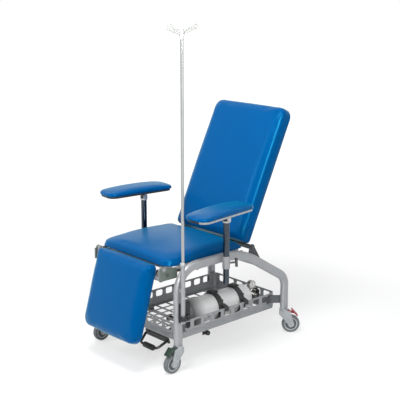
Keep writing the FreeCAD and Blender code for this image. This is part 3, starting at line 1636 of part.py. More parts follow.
def armrest(tag, sign):
    """One armrest: post, swivel head, tilting board, pad and locking screw."""
    prefix = "arm_" + tag
    x_text = "post_x" if sign > 0 else "-post_x"
    post = cylinder(
        prefix + "_post_bar",
        Z_AXIS,
        x_text,
        "post_y",
        "post_low_z",
        "post_r",
        "post_top_z - post_low_z",
    )
    socket = cylinder(
        prefix + "_post_bore",
        Z_AXIS,
        x_text,
        "post_y",
        "post_top_z - head_spigot - overrun",
        "head_spigot_r + pin_fit",
        "head_spigot + 2 * overrun",
    )
    node(prefix + "_post", cut(prefix + "_post_solid", post, socket))
    place = Placement(
        Vector(sign * size.post_x, size.post_y, 0),
        Rotation(Z_AXIS, sign * size.arm_yaw_angle),
    )
    hub_low = size.post_top_z + size.head_gap
    hub_disc = drum(size.head_r, Vector(0, 0, hub_low), Z_AXIS * size.head_hub)
    spigot_low = size.post_top_z - size.head_spigot
    spigot = drum(size.head_spigot_r, Vector(0, 0, spigot_low), Z_AXIS * (hub_low - spigot_low))
    pieces = [spigot]
    for side in (1, -1):
        start = Vector(side * size.ear_inner, 0, size.tilt_z)
        along = X_AXIS * (side * size.ear_thick)
        foot = Vector(start.x, 0, hub_low + size.ear_r)
        pieces.append(strip(foot, start, size.ear_r, along))
    pin_half = size.ear_inner + size.ear_thick
    pieces.append(drum(size.tilt_pin_r, Vector(-pin_half, 0, size.tilt_z), X_AXIS * (2 * pin_half)))
    head = hub_disc.fuse(pieces).removeSplitter()
    node(prefix + "_head", solid(prefix + "_head_solid", head), place)
    inset = size.arm_board_inset
    board = Part.Face(rounded_outline(
        inset - size.arm_half_wide,
        inset - size.arm_front,
        size.arm_half_wide - inset,
        size.arm_rear - inset,
        size.arm_base_z,
        size.arm_corner - inset,
        size.arm_corner - inset,
    )).extrude(Z_AXIS * size.arm_board)
    lug_half = size.arm_lug_half
    lug = Part.makeBox(
        2 * lug_half,
        2 * size.arm_lug_r,
        size.arm_base_z - size.tilt_z,
        Vector(-lug_half, -size.arm_lug_r, size.tilt_z),
    )
    eye = drum(size.arm_lug_r, Vector(-lug_half, 0, size.tilt_z), X_AXIS * (2 * lug_half))
    hole = drum(
        size.tilt_pin_r + size.pin_fit,
        Vector(-2 * lug_half, 0, size.tilt_z),
        X_AXIS * (4 * lug_half),
    )
    board_shape = board.fuse([lug, eye]).cut(hole).removeSplitter()
    node(prefix + "_board", solid(prefix + "_board_solid", board_shape), place)
    pad_shape = cushion(
        -size.arm_half_wide,
        -size.arm_front,
        size.arm_half_wide,
        size.arm_rear,
        size.arm_base_z + size.arm_board,
        size.arm_pad,
        size.arm_pad_crown,
        size.arm_pad_roll,
        size.arm_corner,
        size.arm_corner,
        0.0,
    )
    node(prefix + "_pad", solid(prefix + "_pad_solid", pad_shape), place)
    turn = math.radians(size.screw_angle)
    heading = Vector(sign * math.cos(turn), math.sin(turn), 0)
    base = Vector(sign * size.post_x, size.post_y, size.screw_z)
    stem_start = base + heading * (size.screw_start)
    stem = drum(size.screw_r, stem_start, heading * (size.screw_end - size.screw_start))
    across = Vector(-heading.y, heading.x, 0)
    tilt = math.radians(size.handle_tilt)
    bar_line = across * math.cos(tilt) + Z_AXIS * math.sin(tilt)
    bar_centre = base + heading * size.screw_end
    bar = drum(size.handle_r, bar_centre - bar_line * size.handle_half, bar_line * (2 * size.handle_half))
    node(prefix + "_screw", solid(prefix + "_screw_solid", stem.fuse(bar).removeSplitter()))


armrest("left", 1)
armrest("right", -1)

# Infusion pole: clamp on the front leg, outer tube, sliding rod and swivelling hook head
clamp_x = size.rail_x + size.tube_wide / 2
clamp_reach = size.pole_x + size.pole_tube_r + size.clamp_wall
clamp_height = size.clamp_top_z - size.clamp_low_z
clamp_block = Part.makeBox(
    clamp_reach - clamp_x,
    2 * size.clamp_half,
    clamp_height,
    Vector(clamp_x, size.pole_y - size.clamp_half, size.clamp_low_z),
)
pole_line = Vector(size.pole_x, size.pole_y, size.pole_low_z)
seat_bore = drum(size.pole_tube_r, pole_line, Z_AXIS * clamp_height)
boss_start = Vector(size.pole_x, size.pole_y + size.clamp_half, size.clamp_boss_z)
boss_long = size.clamp_boss_y - boss_start.y
boss = drum(size.clamp_boss_r, boss_start, Y_AXIS * boss_long)
upright_edges = []
for edge in clamp_block.Edges:
    if runs_along(Z_AXIS)(edge) and abs(edge.CenterOfMass.x - clamp_reach) < size.pin_fit:
        upright_edges.append(edge)
clamp_block = clamp_block.makeFillet(size.clamp_wall, upright_edges)
clamp_shape = clamp_block.cut(seat_bore).fuse(boss).removeSplitter()
node("pole_clamp", solid("pole_clamp_solid", clamp_shape))
pole_outer = cylinder(
    "pole_outer",
    Z_AXIS,
    "pole_x",
    "pole_y",
    "pole_low_z",
    "pole_tube_r",
    "pole_top_z - pole_low_z",
)
pole_collar = cylinder(
    "pole_collar",
    Z_AXIS,
    "pole_x",
    "pole_y",
    "pole_top_z - overrun",
    "collar_r",
    "collar_long + overrun",
)
pole_bore = cylinder(
    "pole_bore",
    Z_AXIS,
    "pole_x",
    "pole_y",
    "rod_low_z - overrun",
    "pole_rod_r + pole_slide",
    "pole_top_z + 2 * collar_long",
)
node("pole_tube", cut("pole_tube_solid", fuse("pole_tube_outside", [pole_outer, pole_collar]), pole_bore))
node("pole_rod", cylinder(
    "pole_rod_bar",
    Z_AXIS,
    "pole_x",
    "pole_y",
    "rod_low_z",
    "pole_rod_r",
    "rod_top_z - rod_low_z",
))
hook_centre = Vector(size.pole_x, size.pole_y, size.hook_low_z)
hook_shape = drum(size.hook_hub_r, hook_centre, Z_AXIS * (size.hook_top_z - size.hook_low_z))
arm_z = (size.hook_low_z + size.hook_top_z) / 2
for end in (1, -1):
    ring_y = size.pole_y + end * size.hook_reach
    ring_z = size.hook_top_z + size.hook_rise / 2
    low_x = size.pole_x - size.hook_thick / 2
    along = X_AXIS * size.hook_thick
    ring_centre = Vector(low_x, ring_y, ring_z)
    half_root = size.hook_root_tall / 2
    arm_points = [
        Vector(low_x, size.pole_y, arm_z - half_root),
        Vector(low_x, ring_y, ring_z - size.hook_ring_r),
        Vector(low_x, ring_y, ring_z + size.hook_hole_r),
        Vector(low_x, size.pole_y, arm_z + half_root),
    ]
    hook_shape = hook_shape.fuse([plate(arm_points, along), drum(size.hook_ring_r, ring_centre, along)])
    hook_shape = hook_shape.cut(drum(size.hook_hole_r, ring_centre, along))
    mouth = Part.makeBox(
        size.hook_thick,
        size.hook_mouth,
        2 * size.hook_ring_r,
        Vector(low_x, ring_y - size.hook_mouth / 2, ring_z),
    )
    hook_shape = hook_shape.cut(mouth)
rod_room = size.rod_top_z - size.hook_low_z
hook_bore = drum(
    size.pole_rod_r + size.pin_fit,
    hook_centre - Z_AXIS * size.overrun,
    Z_AXIS * (rod_room + size.overrun),
)
node("hook_head", solid("hook_head_solid", hook_shape.cut(hook_bore).removeSplitter()))


# Braked castors, drawn with the wheel trailing towards the front and then turned

def lever_lines(angle):
    """Heading of a pedal plate that drops by an angle, and the direction square to it."""
    turn = math.radians(angle)
    heading = Vector(0, -math.cos(turn), -math.sin(turn))
    return heading, Vector(0, -math.sin(turn), math.cos(turn))


def slab(start, run, side, thick, across):
    """Flat bar along a run, centred on its thickness and given width along X."""
    half = side * (thick / 2)
    return plate([start - half, start + run - half, start + run + half, start + half], X_AXIS * across)


def castor(tag, sign_x, sign_y, turn_name):
    turn_value = getattr(size, turn_name)
    x_text = "rail_x" if sign_x > 0 else "-rail_x"
    y_text = "leg_y" if sign_y > 0 else "-leg_y"
    place = Placement(
        Vector(sign_x * size.rail_x, sign_y * size.leg_y, 0),
        Rotation(Z_AXIS, turn_value),
    )
    inner = size.castor_wide / 2 + size.cheek_gap
    axle = Vector(0, -size.castor_trail, size.castor_r)
    hood_top = size.leg_foot_z - size.stem_flange - size.hood_gap
    pieces = []
    for side in (1, -1):
        start = side * inner
        along = X_AXIS * (side * size.cheek_thick)
        eye = Vector(start, axle.y, axle.z)
        blade = [
            Vector(start, axle.y - size.cheek_eye_r, axle.z),
            Vector(start, axle.y + size.cheek_eye_r, axle.z),
            Vector(start, size.cheek_front, size.hood_low_z),
            Vector(start, size.cheek_front, size.cheek_top_z),
            Vector(start, -size.cheek_rear, size.cheek_top_z),
            Vector(start, -size.cheek_rear - size.cheek_eye_r / 2, size.hood_low_z),
        ]
        pieces.append(plate(blade, along))
        pieces.append(drum(size.cheek_eye_r, eye, along))
    axle_half = inner + size.cheek_thick
    pieces.append(drum(size.castor_bore_r, axle - X_AXIS * axle_half, X_AXIS * (2 * axle_half)))
    hood = drum(size.hood_r, Vector(0, 0, size.hood_low_z), Z_AXIS * (hood_top - size.hood_low_z))
    stem_room = drum(
        size.stem_r + size.pin_fit,
        Vector(0, 0, size.stem_low_z - size.hood_gap),
        Z_AXIS * (2 * (hood_top - size.stem_low_z)),
    )
    bridge = Part.makeBox(
        2 * axle_half,
        size.cheek_front + size.cheek_rear / 2,
        size.cheek_top_z - size.hood_low_z,
        Vector(-axle_half, -size.cheek_rear / 2, size.hood_low_z),
    )
    fork = hood.fuse([bridge] + pieces).cut(stem_room).removeSplitter()
    pin_spot = Vector(0, size.brake_pin_y, size.brake_pin_z)
    pin = drum(size.brake_pin_r, pin_spot - X_AXIS * axle_half, X_AXIS * (2 * axle_half))
    brake_room = Part.makeBox(
        2 * inner,
        2 * size.castor_r,
        size.hood_r * 2,
        Vector(-inner, -size.castor_r * 2 - size.brake_tip, size.hood_low_z),
    )
    fork = fork.cut(brake_room).fuse(pin).removeSplitter()
    node("fork_" + tag, solid("fork_%s_solid" % tag, fork), place)

    wheel = new_body("wheel_" + tag)
    profile = new_sketch(wheel, "wheel_%s_profile" % tag, "XZ_Plane")
    half = size.castor_wide / 2
    bore = size.castor_bore_r + size.castor_fit
    tread = size.castor_tread_round
    points = [
        (bore, -half),
        (size.castor_hub_r, -half),
        (size.castor_hub_r, size.castor_dish - half),
        (size.castor_dish_r, size.castor_dish - half),
        (size.castor_dish_r, -half + size.pin_fit),
        (size.castor_r - tread, -half + size.pin_fit),
        (size.castor_r - tread / 3, tread / 3 - half),
        (size.castor_r, tread - half),
        (size.castor_r, half - tread),
        (size.castor_r - tread / 3, half - tread / 3),
        (size.castor_r - tread, half - size.pin_fit),
        (size.castor_dish_r, half - size.pin_fit),
        (size.castor_dish_r, half - size.castor_dish),
        (size.castor_hub_r, half - size.castor_dish),
        (size.castor_hub_r, half),
        (bore, half),
    ]
    outline(profile, points)
    turned = wheel.newObject("PartDesign::Revolution", "wheel_%s_turned" % tag)
    turned.Profile = profile
    turned.ReferenceAxis = (profile, ["V_Axis"])
    turned.Angle = FULL_TURN
    profile.Visibility = False
    wheel.Tip = turned
    local = Placement(axle, Rotation(Z_AXIS, X_AXIS))
    wheel.Placement = place.multiply(local)

    half_wide = size.brake_half - size.cheek_gap * 2
    arm_line, arm_side = lever_lines(size.brake_angle)
    arm_foot = Vector(-half_wide, 0, 0)
    lever = slab(arm_foot, arm_line * size.brake_reach, arm_side, size.brake_thick, 2 * half_wide)
    paddle_line, paddle_side = lever_lines(size.paddle_angle)
    paddle_head = arm_line * size.brake_reach - paddle_line * size.paddle_lead
    paddle_head = paddle_head - X_AXIS * size.paddle_half
    paddle_run = paddle_line * size.paddle_long
    paddle = slab(paddle_head, paddle_run, paddle_side, size.brake_thick, 2 * size.paddle_half)
    rim = [edge for edge in paddle.Edges if abs(edge.tangentAt(edge.FirstParameter).x) < size.pin_fit]
    paddle = paddle.makeFillet(size.brake_thick / 3, rim)
    pin_hole = drum(
        size.brake_pin_r + size.pin_fit,
        Vector(-2 * half_wide, 0, 0),
        X_AXIS * (4 * half_wide),
    )
    barrel = drum(size.brake_pin_r * 2, Vector(-half_wide, 0, 0), X_AXIS * (2 * half_wide))
    brake = lever.fuse([paddle, barrel]).cut(pin_hole).removeSplitter()
    brake_place = place.multiply(Placement(pin_spot, Rotation()))
    node("brake_" + tag, solid("brake_%s_solid" % tag, brake), brake_place)


castor("front_left", 1, -1, "castor_turn_front")
castor("front_right", -1, -1, "castor_turn_front")
castor("rear_left", 1, 1, "castor_turn_near")
castor("rear_right", -1, 1, "castor_turn_far")

# Final recompute, validity checks and one file per piece
doc.recompute()
for item in doc.Objects:
    if "Invalid" in item.State or "Error" in item.State:
        raise RuntimeError("object %s is in state %s" % (item.Name, item.State))
for label, item in nodes.items():
    if item.Shape.isNull() or not item.Shape.isValid():
        raise RuntimeError("piece %s has a bad shape" % label)
os.makedirs("parts", exist_ok=True)
for label, item in sorted(nodes.items()):
    item.Shape.exportStep("parts/%s.step" % label)
print("pieces written: %d" % len(nodes))
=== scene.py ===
# %% [markdown]
# # A reclining blood-donor chair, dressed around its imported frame
#
# The chair's tubes, hinges, tray and castors come from the CAD model and are
# never changed here. This lesson gives every one of them the finish of the real
# thing, and builds what CAD can't: cushions filled under pressure, tyres, webbing
# straps, board covers and the small fittings on the gas cylinder. Places are
# metres. Profiles and sizes are millimetres, and MM scales them.

import json
import math

import bpy
import numpy as np
from mathutils import Matrix, Vector


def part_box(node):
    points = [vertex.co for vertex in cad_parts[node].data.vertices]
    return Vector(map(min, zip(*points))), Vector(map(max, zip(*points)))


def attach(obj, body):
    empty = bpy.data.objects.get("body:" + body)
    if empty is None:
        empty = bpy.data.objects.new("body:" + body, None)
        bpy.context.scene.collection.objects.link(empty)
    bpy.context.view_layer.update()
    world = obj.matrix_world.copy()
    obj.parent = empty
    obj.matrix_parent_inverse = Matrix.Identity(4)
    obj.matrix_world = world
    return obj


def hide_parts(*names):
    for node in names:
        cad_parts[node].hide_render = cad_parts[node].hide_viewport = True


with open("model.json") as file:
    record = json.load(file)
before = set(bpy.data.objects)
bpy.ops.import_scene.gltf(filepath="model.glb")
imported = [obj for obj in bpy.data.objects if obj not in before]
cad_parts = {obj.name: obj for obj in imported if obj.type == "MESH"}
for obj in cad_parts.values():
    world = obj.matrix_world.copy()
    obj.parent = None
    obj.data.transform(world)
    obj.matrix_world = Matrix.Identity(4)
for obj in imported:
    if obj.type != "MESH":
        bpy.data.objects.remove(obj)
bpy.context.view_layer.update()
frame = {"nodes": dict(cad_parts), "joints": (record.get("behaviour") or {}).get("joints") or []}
nodes = frame["nodes"]
MM = 0.001

# %% [markdown]
# ## Helpers for selecting and finishing a piece
#
# Operators act on whatever is selected, so each step starts by selecting one
# piece alone. A finished piece keeps its place in its mesh, gets one material and
# rides on the body of the chair that carries it.

# %% Selecting and settling pieces


def clear_selection():
    if bpy.context.object and bpy.context.object.mode != "OBJECT":
        bpy.ops.object.mode_set(mode="OBJECT")
    bpy.ops.object.select_all(action="DESELECT")


def pick(piece):
    clear_selection()
    piece.select_set(True)
    bpy.context.view_layer.objects.active = piece


def new_object(name, data):
    """An object at the origin, in the scene."""
    piece = bpy.data.objects.new(name, data)
    bpy.context.scene.collection.objects.link(piece)
    return piece


def edit_all(piece):
    """Leaves the piece in edit mode with all of it selected."""
    pick(piece)
    bpy.ops.object.mode_set(mode="EDIT")
    bpy.ops.mesh.select_all(action="SELECT")


def select_faces(piece, test):
    """Leaves the piece in edit mode with only those faces selected that pass the test."""
    pick(piece)
    bpy.ops.object.mode_set(mode="EDIT")
    bpy.ops.mesh.select_mode(type="FACE")
    bpy.ops.mesh.select_all(action="DESELECT")
    bpy.ops.object.mode_set(mode="OBJECT")
    for face in piece.data.polygons:
        face.select = bool(test(face.center, face.normal))
    bpy.ops.object.mode_set(mode="EDIT")


def place(piece, matrix):
    """Moves the piece's mesh by a matrix, so that the object itself stays at the origin."""
    pick(piece)
    bpy.ops.object.transform_apply(location=True, rotation=True, scale=True)
    piece.data.transform(matrix)


def settle(piece, name, body, material, slot, sharp=32.0):
    pick(piece)
    bpy.ops.object.transform_apply(location=True, rotation=True, scale=True)
    piece.name = name
    piece.data.name = name
    piece.data.materials.clear()
    piece.data.materials.append(material)
    bpy.ops.object.shade_smooth_by_angle(angle=math.radians(sharp))
    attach(piece, body)
    return piece


def soften(piece, width, segments=2, angle=30.0):
    """Rounds the sharp edges of a piece by a small width."""
    pick(piece)
    bevel = piece.modifiers.new("soft_edges", "BEVEL")
    bevel.width = width
    bevel.segments = segments
    bevel.limit_method = "ANGLE"
    bevel.angle_limit = math.radians(angle)
    bpy.ops.object.modifier_apply(modifier=bevel.name)


def read_points(mesh, what="co"):
    """Places, or another vector, of all points of a mesh, one row each."""
    flat = np.empty(len(mesh.vertices) * 3, np.float32)
    mesh.vertices.foreach_get(what, flat)
    return flat.reshape(-1, 3).astype(float)


def write_points(mesh, points):
    mesh.vertices.foreach_set("co", points.astype(np.float32).ravel())
    mesh.update()


def turned(axis, to):
    """Rotation that takes an axis to a direction."""
    return Vector(axis).rotation_difference(Vector(to)).to_matrix().to_4x4()


def joint_place(name):
    """Where a joint of the frame sits."""
    return Vector(next(joint["pos_m"] for joint in frame["joints"] if joint["name"] == name))


# %% [markdown]
# ## Helpers for materials
#
# A colour is written as the sRGB hex value a paint shop or screen would give, and
# one function turns it into the linear value that the shader mixes with.

# %% Building shader nodes


def colour(hex_text):
    values = [int(hex_text[i:i + 2], 16) / 255 for i in (0, 2, 4)]
    linear = [v / 12.92 if v <= 0.04045 else ((v + 0.055) / 1.055) ** 2.4 for v in values]
    return (*linear, 1.0)


def add_node(material, kind, inputs=None, **settings):
    """Adds one node. An input given another node's output is linked, and any other value is set."""
    node = material.node_tree.nodes.new(kind)
    for name, value in settings.items():
        setattr(node, name, value)
    connect(material, node, inputs or {})
    return node


def connect(material, node, inputs):
    for socket, value in inputs.items():
        if isinstance(value, bpy.types.NodeSocket):
            material.node_tree.links.new(value, node.inputs[socket])
        else:
            node.inputs[socket].default_value = value


def new_material(name):
    """An empty material with its shader and the piece's own coordinates."""
    material = bpy.data.materials.new(name)
    material.use_nodes = True
    shader = material.node_tree.nodes["Principled BSDF"]
    spot = add_node(material, "ShaderNodeTexCoord").outputs["Object"]
    return material, shader, spot


def per_mm(size):
    """Noise or cell scale whose features are about this many millimetres across."""
    return 1.0 / (size * MM)


def noise(material, spot, size, detail):
    """Clouds from 0 to 1 whose features have a size in millimetres."""
    inputs = {"Vector": spot, "Scale": per_mm(size), "Detail": detail}
    return add_node(material, "ShaderNodeTexNoise", inputs).outputs["Fac"]


def combine(material, operation, first, second):
    """Result of one sum of two values."""
    node = add_node(material, "ShaderNodeMath", {0: first, 1: second}, operation=operation)
    return node.outputs["Value"]


def remap(material, value, low, high, start=0.0, end=1.0):
    """Runs from low to high while the value runs from start to end."""
    inputs = {"Value": value, "From Min": start, "From Max": end, "To Min": low, "To Max": high}
    return add_node(material, "ShaderNodeMapRange", inputs).outputs["Result"]


def blend_hex(material, share, first, second, low=0.0, high=1.0):
    """Runs from one hex colour to another while the share runs from low to high."""
    ramp = add_node(material, "ShaderNodeValToRGB", {"Fac": share})
    for stop, position, hex_text in zip(ramp.color_ramp.elements, (low, high), (first, second)):
        stop.position = position
        stop.color = colour(hex_text)
    return ramp.outputs["Color"]


def two_tones(material, spot, size, first, second, low=0.35, high=0.65):
    """Cloudy mix of two hex colours with patches of a size in millimetres."""
    return blend_hex(material, noise(material, spot, size, 3.0), first, second, low, high)


def rough_patches(material, spot, size, low, high):
    return remap(material, noise(material, spot, size, 4.0), low, high, 0.3, 0.7)


def relief(material, height, depth, strength=1.0, under=None):
    """Bump from a height that runs 0 to 1, its depth in millimetres."""
    inputs = {"Height": height, "Distance": depth * MM, "Strength": strength}
    if under is not None:
        inputs["Normal"] = under
    return add_node(material, "ShaderNodeBump", inputs).outputs["Normal"]


# %% [markdown]
# ## Upholstery vinyl
#
# Wipe-clean PVC leathercloth in a strong blue. It is calendered against a grained
# roll, so it has cells about 1.5 mm across with soft valleys between, a satin
# sheen on top, and a faint cloudiness where the foam presses from below.

# %% Vinyl
VINYL_BLUE = "004C87"
VINYL_SHADE = "004B85"
VINYL_SHEEN = "38BCE0"
VINYL_BLOOM = "0AE0C8"
VINYL_GRAIN = 1.6
VINYL_CLOUD = 90.0
VINYL_WEAR = 40.0
FOAM_WAVE = 55.0


def make_vinyl():
    material, shader, spot = new_material("leathercloth_vinyl_blue")
    tint = two_tones(material, spot, VINYL_CLOUD, VINYL_SHADE, VINYL_BLUE)
    soft = relief(material, noise(material, spot, FOAM_WAVE, 1.0), 1.2, 0.3)
    cells = add_node(
        material,
        "ShaderNodeTexVoronoi",
        {"Vector": spot, "Scale": per_mm(VINYL_GRAIN), "Randomness": 0.9},
        feature="SMOOTH_F1",
    )
    grain = relief(material, cells.outputs["Distance"], 0.12, 0.35, soft)
    connect(material, shader, {
        "Base Color": tint,
        "Roughness": rough_patches(material, spot, VINYL_WEAR, 0.29, 0.33),
        "Normal": grain,
        "IOR": 1.5,
        "Specular IOR Level": 0.18,
        "Specular Tint": colour(VINYL_SHEEN),
        "Sheen Weight": 0.22,
        "Sheen Roughness": 0.4,
        "Sheen Tint": colour(VINYL_BLOOM),
    })
    return material


vinyl = make_vinyl()
print("vinyl grain", VINYL_GRAIN, "mm")

# %% [markdown]
# ## Powder-coated steel
#
# The frame tubes and the tray are mild steel sprayed with an epoxy-polyester
# powder and baked. The film has a slight orange peel about 2 mm from crest to
# crest, and an aluminium flake that sparkles a little. The same recipe serves
# every painted steel piece, with its own greys.

# %% Powder coat
ORANGE_PEEL = 2.2
FLAKE = 0.5


def make_powder_coat(name, light, dark, metallic, low_rough, high_rough):
    material, shader, spot = new_material(name)
    tint = two_tones(material, spot, 60.0, dark, light, 0.25, 0.75)
    flakes = add_node(material, "ShaderNodeTexVoronoi", {"Vector": spot, "Scale": per_mm(FLAKE)})
    grey = add_node(material, "ShaderNodeRGBToBW", {"Color": flakes.outputs["Color"]})
    shift = remap(material, grey.outputs["Val"], 0.94, 1.06)
    lit = add_node(material, "ShaderNodeVectorMath", {0: tint, 1: shift}, operation="MULTIPLY")
    connect(material, shader, {
        "Base Color": lit.outputs["Vector"],
        "Metallic": metallic,
        "Roughness": rough_patches(material, spot, 25.0, low_rough, high_rough),
        "Normal": relief(material, noise(material, spot, ORANGE_PEEL, 2.0), 0.08, 0.5),
    })
    return material


# Each powder coat: name, light and dark grey, metallic, and roughness from and to
silver_grey = make_powder_coat("powder_coat_silver_grey", "9EA0A3", "95979A", 0.35, 0.34, 0.44)
tray_grey = make_powder_coat("powder_coat_tray_grey", "96999B", "8B8E90", 0.30, 0.38, 0.50)
bracket_green = make_powder_coat("powder_coat_bracket_grey_green", "68736C", "5E6963", 0.15, 0.40, 0.52)
bracket_dark = make_powder_coat("powder_coat_bracket_dark", "55595B", "4A4E50", 0.20, 0.40, 0.52)
# A dark grey with no metallic gloss, which is painted shade: the backrest frame and its hinge plates
# read as the shaded gap between seat and backrest
painted_shade_grey = make_powder_coat("powder_coat_dark_grey", "3C3F43", "33363A", 0.0, 0.50, 0.60)
pedal_black = make_powder_coat("powder_coat_black", "121315", "0C0D0E", 0.0, 0.36, 0.5)
print("powder coats: orange peel", ORANGE_PEEL, "mm")

# %% [markdown]
# ## Plated and brushed metal
#
# The armrest posts are chromed tube, close to a mirror. Their base colour is a
# dark blue-grey, a painted dark reflection of the surroundings. The infusion rod,
# the axles and the armrest strips are duller, and the cylinder's valve carries
# fine lines along the way it was turned.

# %% Metals
STREAK_DEPTH = 0.02


def make_metal(name, light, dark, low_rough, high_rough, streak=None, patches=20.0):
    material, shader, spot = new_material(name)
    tint = two_tones(material, spot, patches, dark, light, 0.3, 0.7)
    inputs = {
        "Base Color": tint,
        "Metallic": 1.0,
        "Roughness": rough_patches(material, spot, patches, low_rough, high_rough),
    }
    if streak:
        stretched = add_node(material, "ShaderNodeMapping", {"Vector": spot, "Scale": streak})
        spread = {"Vector": stretched.outputs["Vector"], "Detail": 4.0}
        lines = add_node(material, "ShaderNodeTexNoise", spread)
        inputs["Normal"] = relief(material, lines.outputs["Fac"], STREAK_DEPTH, 0.4)
    connect(material, shader, inputs)
    return material


# Each metal: name, light and dark tone, and roughness from and to
# The chrome's dark blue-grey is a painted dark reflection, darker than plated steel itself
chrome = make_metal("chrome_plated_steel", "4C535B", "424951", 0.06, 0.12)
drawn_steel = make_metal("stainless_steel_drawn_tube", "ACADAE", "A8A9AA", 0.27, 0.30, patches=150.0)
zinc = make_metal("zinc_plated_steel", "B2B4B6", "9A9C9F", 0.28, 0.42)
anodised = make_metal("aluminium_anodised_strip", "A6A8AA", "9C9EA0", 0.22, 0.32)
cast_alloy = make_metal("aluminium_die_casting", "B9BBBD", "A5A7A9", 0.25, 0.38)
nickel = make_metal("nickel_plated_brass", "9C9C9A", "84837F", 0.16, 0.30, (900.0, 12.0, 900.0))
print("metals made")

# %% [markdown]
# ## Moulded plastics and rubber
#
# Knobs, castor forks and the hook head are injection moulded, with a fine spark
# texture from the tool. The tyres are a soft rubber with a dull, open surface.

# %% Plastics
SPARK_TEXTURE = 0.7
PLASTIC_CLOUD = 30.0


def make_plastic(name, light, dark, low_rough, high_rough, depth=0.04):
    material, shader, spot = new_material(name)
    tint = two_tones(material, spot, PLASTIC_CLOUD, dark, light, 0.3, 0.7)
    connect(material, shader, {
        "Base Color": tint,
        "Roughness": rough_patches(material, spot, 18.0, low_rough, high_rough),
        "Normal": relief(material, noise(material, spot, SPARK_TEXTURE, 2.0), depth, 0.5),
        "IOR": 1.46,
    })
    return material


# Each plastic: name, light and dark tone, and roughness from and to
black_nylon = make_plastic("nylon_black", "151618", "0E0F10", 0.36, 0.50)
castor_nylon = make_plastic("nylon_castor_grey", "A4A9AC", "979C9F", 0.36, 0.48)
rim_nylon = make_plastic("nylon_wheel_rim_grey", "B4B8BB", "A8ACAF", 0.36, 0.48)
tyre_rubber = make_plastic("thermoplastic_rubber_grey", "676C6E", "595E60", 0.60, 0.78, 0.06)
brake_green = make_plastic("nylon_brake_green", "22392C", "1A2E23", 0.38, 0.50)
brake_red = make_plastic("nylon_brake_red", "8E1226", "7A0E20", 0.36, 0.48)
hook_white = make_plastic("polyamide_white", "DCDEDA", "D3D5D1", 0.30, 0.42)
arm_shell = make_plastic("abs_arm_shell_dark", "2A2D31", "202327", 0.40, 0.55)
guard_grey = make_plastic("nylon_thread_guard_dark", "4E5356", "44494C", 0.42, 0.55)
edge_band = make_plastic("pvc_edge_band_pale_grey", "C2C5C7", "B6B9BB", 0.34, 0.46)
dust_cloth = make_plastic("polypropylene_dust_cloth_black", "232427", "191A1C", 0.75, 0.9, 0.12)
print("plastics made")

# %% [markdown]
# ## Camera, light and floor
#
# The camera stands where the photograph's did: in front of the chair and to its
# left, a little above the backrest. The studio is white. A tall light on the right
# draws the bright line along each cushion's edge, and a weak one beside it fills
# the near side. One at the front left throws the pale shadow back across the
# floor, and one overhead lifts the seat.

# %% Camera
CAMERA_PLACE = (3.556, -3.210, 1.940)
CAMERA_PITCH = 13.72
CAMERA_AZIMUTH = 47.68
FOCAL_PIXELS = 919.4
IMAGE_PIXELS = 400.0
SENSOR = 36.0

camera_data = bpy.data.cameras.new("camera")
camera_data.sensor_width = SENSOR
camera_data.lens = FOCAL_PIXELS / IMAGE_PIXELS * SENSOR
camera = new_object("camera", camera_data)
camera.location = CAMERA_PLACE
camera.rotation_euler = (math.radians(90.0 - CAMERA_PITCH), 0.0, math.radians(CAMERA_AZIMUTH))
bpy.context.scene.camera = camera
print("lens", round(camera_data.lens, 1), "mm")

# %% Lamps and world


def soft_box(name, place_at, aim, width, height, power):
    lamp = bpy.data.lights.new(name, "AREA")
    lamp.shape = "RECTANGLE"
    lamp.size = width
    lamp.size_y = height
    lamp.energy = power
    holder = new_object(name, lamp)
    holder.location = place_at
    holder.rotation_euler = (Vector(aim) - Vector(place_at)).to_track_quat("-Z", "Y").to_euler()
    return holder


# Each lamp: place, aim, width and height in metres, and watts
LAMPS = {
    "light_edges": ((3.4, -1.7, 2.9), (0.1, -0.1, 0.7), 0.6, 1.8, 460.0),
    "light_fill": ((3.0, -2.4, 2.4), (0.1, -0.1, 0.4), 1.2, 1.2, 42.0),
    "light_left": ((-1.5, -3.4, 3.0), (0.0, 0.0, 0.6), 1.2, 1.2, 58.0),
    "light_top": ((0.6, -1.1, 3.2), (0.0, 0.1, 0.5), 0.9, 0.9, 68.0),
}
lamps = {name: soft_box(name, *values) for name, values in LAMPS.items()}
lamps["light_edges"].visible_diffuse = False
lamps["light_fill"].visible_glossy = False

world = bpy.data.worlds.new("white_studio")
bpy.context.scene.world = world
world.use_nodes = True


def seen_directly(holder):
    """1 for rays from the camera, from mirrors and through glass, else 0."""
    path = add_node(holder, "ShaderNodeLightPath").outputs
    first = combine(holder, "MAXIMUM", path["Is Camera Ray"], path["Is Glossy Ray"])
    return combine(holder, "MAXIMUM", first, path["Is Transmission Ray"])


AMBIENT = 0.48
world_shader = world.node_tree.nodes["Background"]
strength = remap(world, seen_directly(world), AMBIENT, 1.0)
connect(world, world_shader, {"Color": colour("FFFFFF"), "Strength": strength})
bpy.context.scene.view_settings.view_transform = "Standard"
print("studio lit, ambient", AMBIENT)

# %% Floor
FLOOR_HALF = 30.0
FLOOR_BRIGHT = 1.12
FLOOR_CLOUD = 400.0
# Share of the white backdrop near the chair, and where it starts and ends growing to all
FLOOR_GLOW = 0.52
SHADOW_NEAR = 1.35
SHADOW_FAR = 2.5

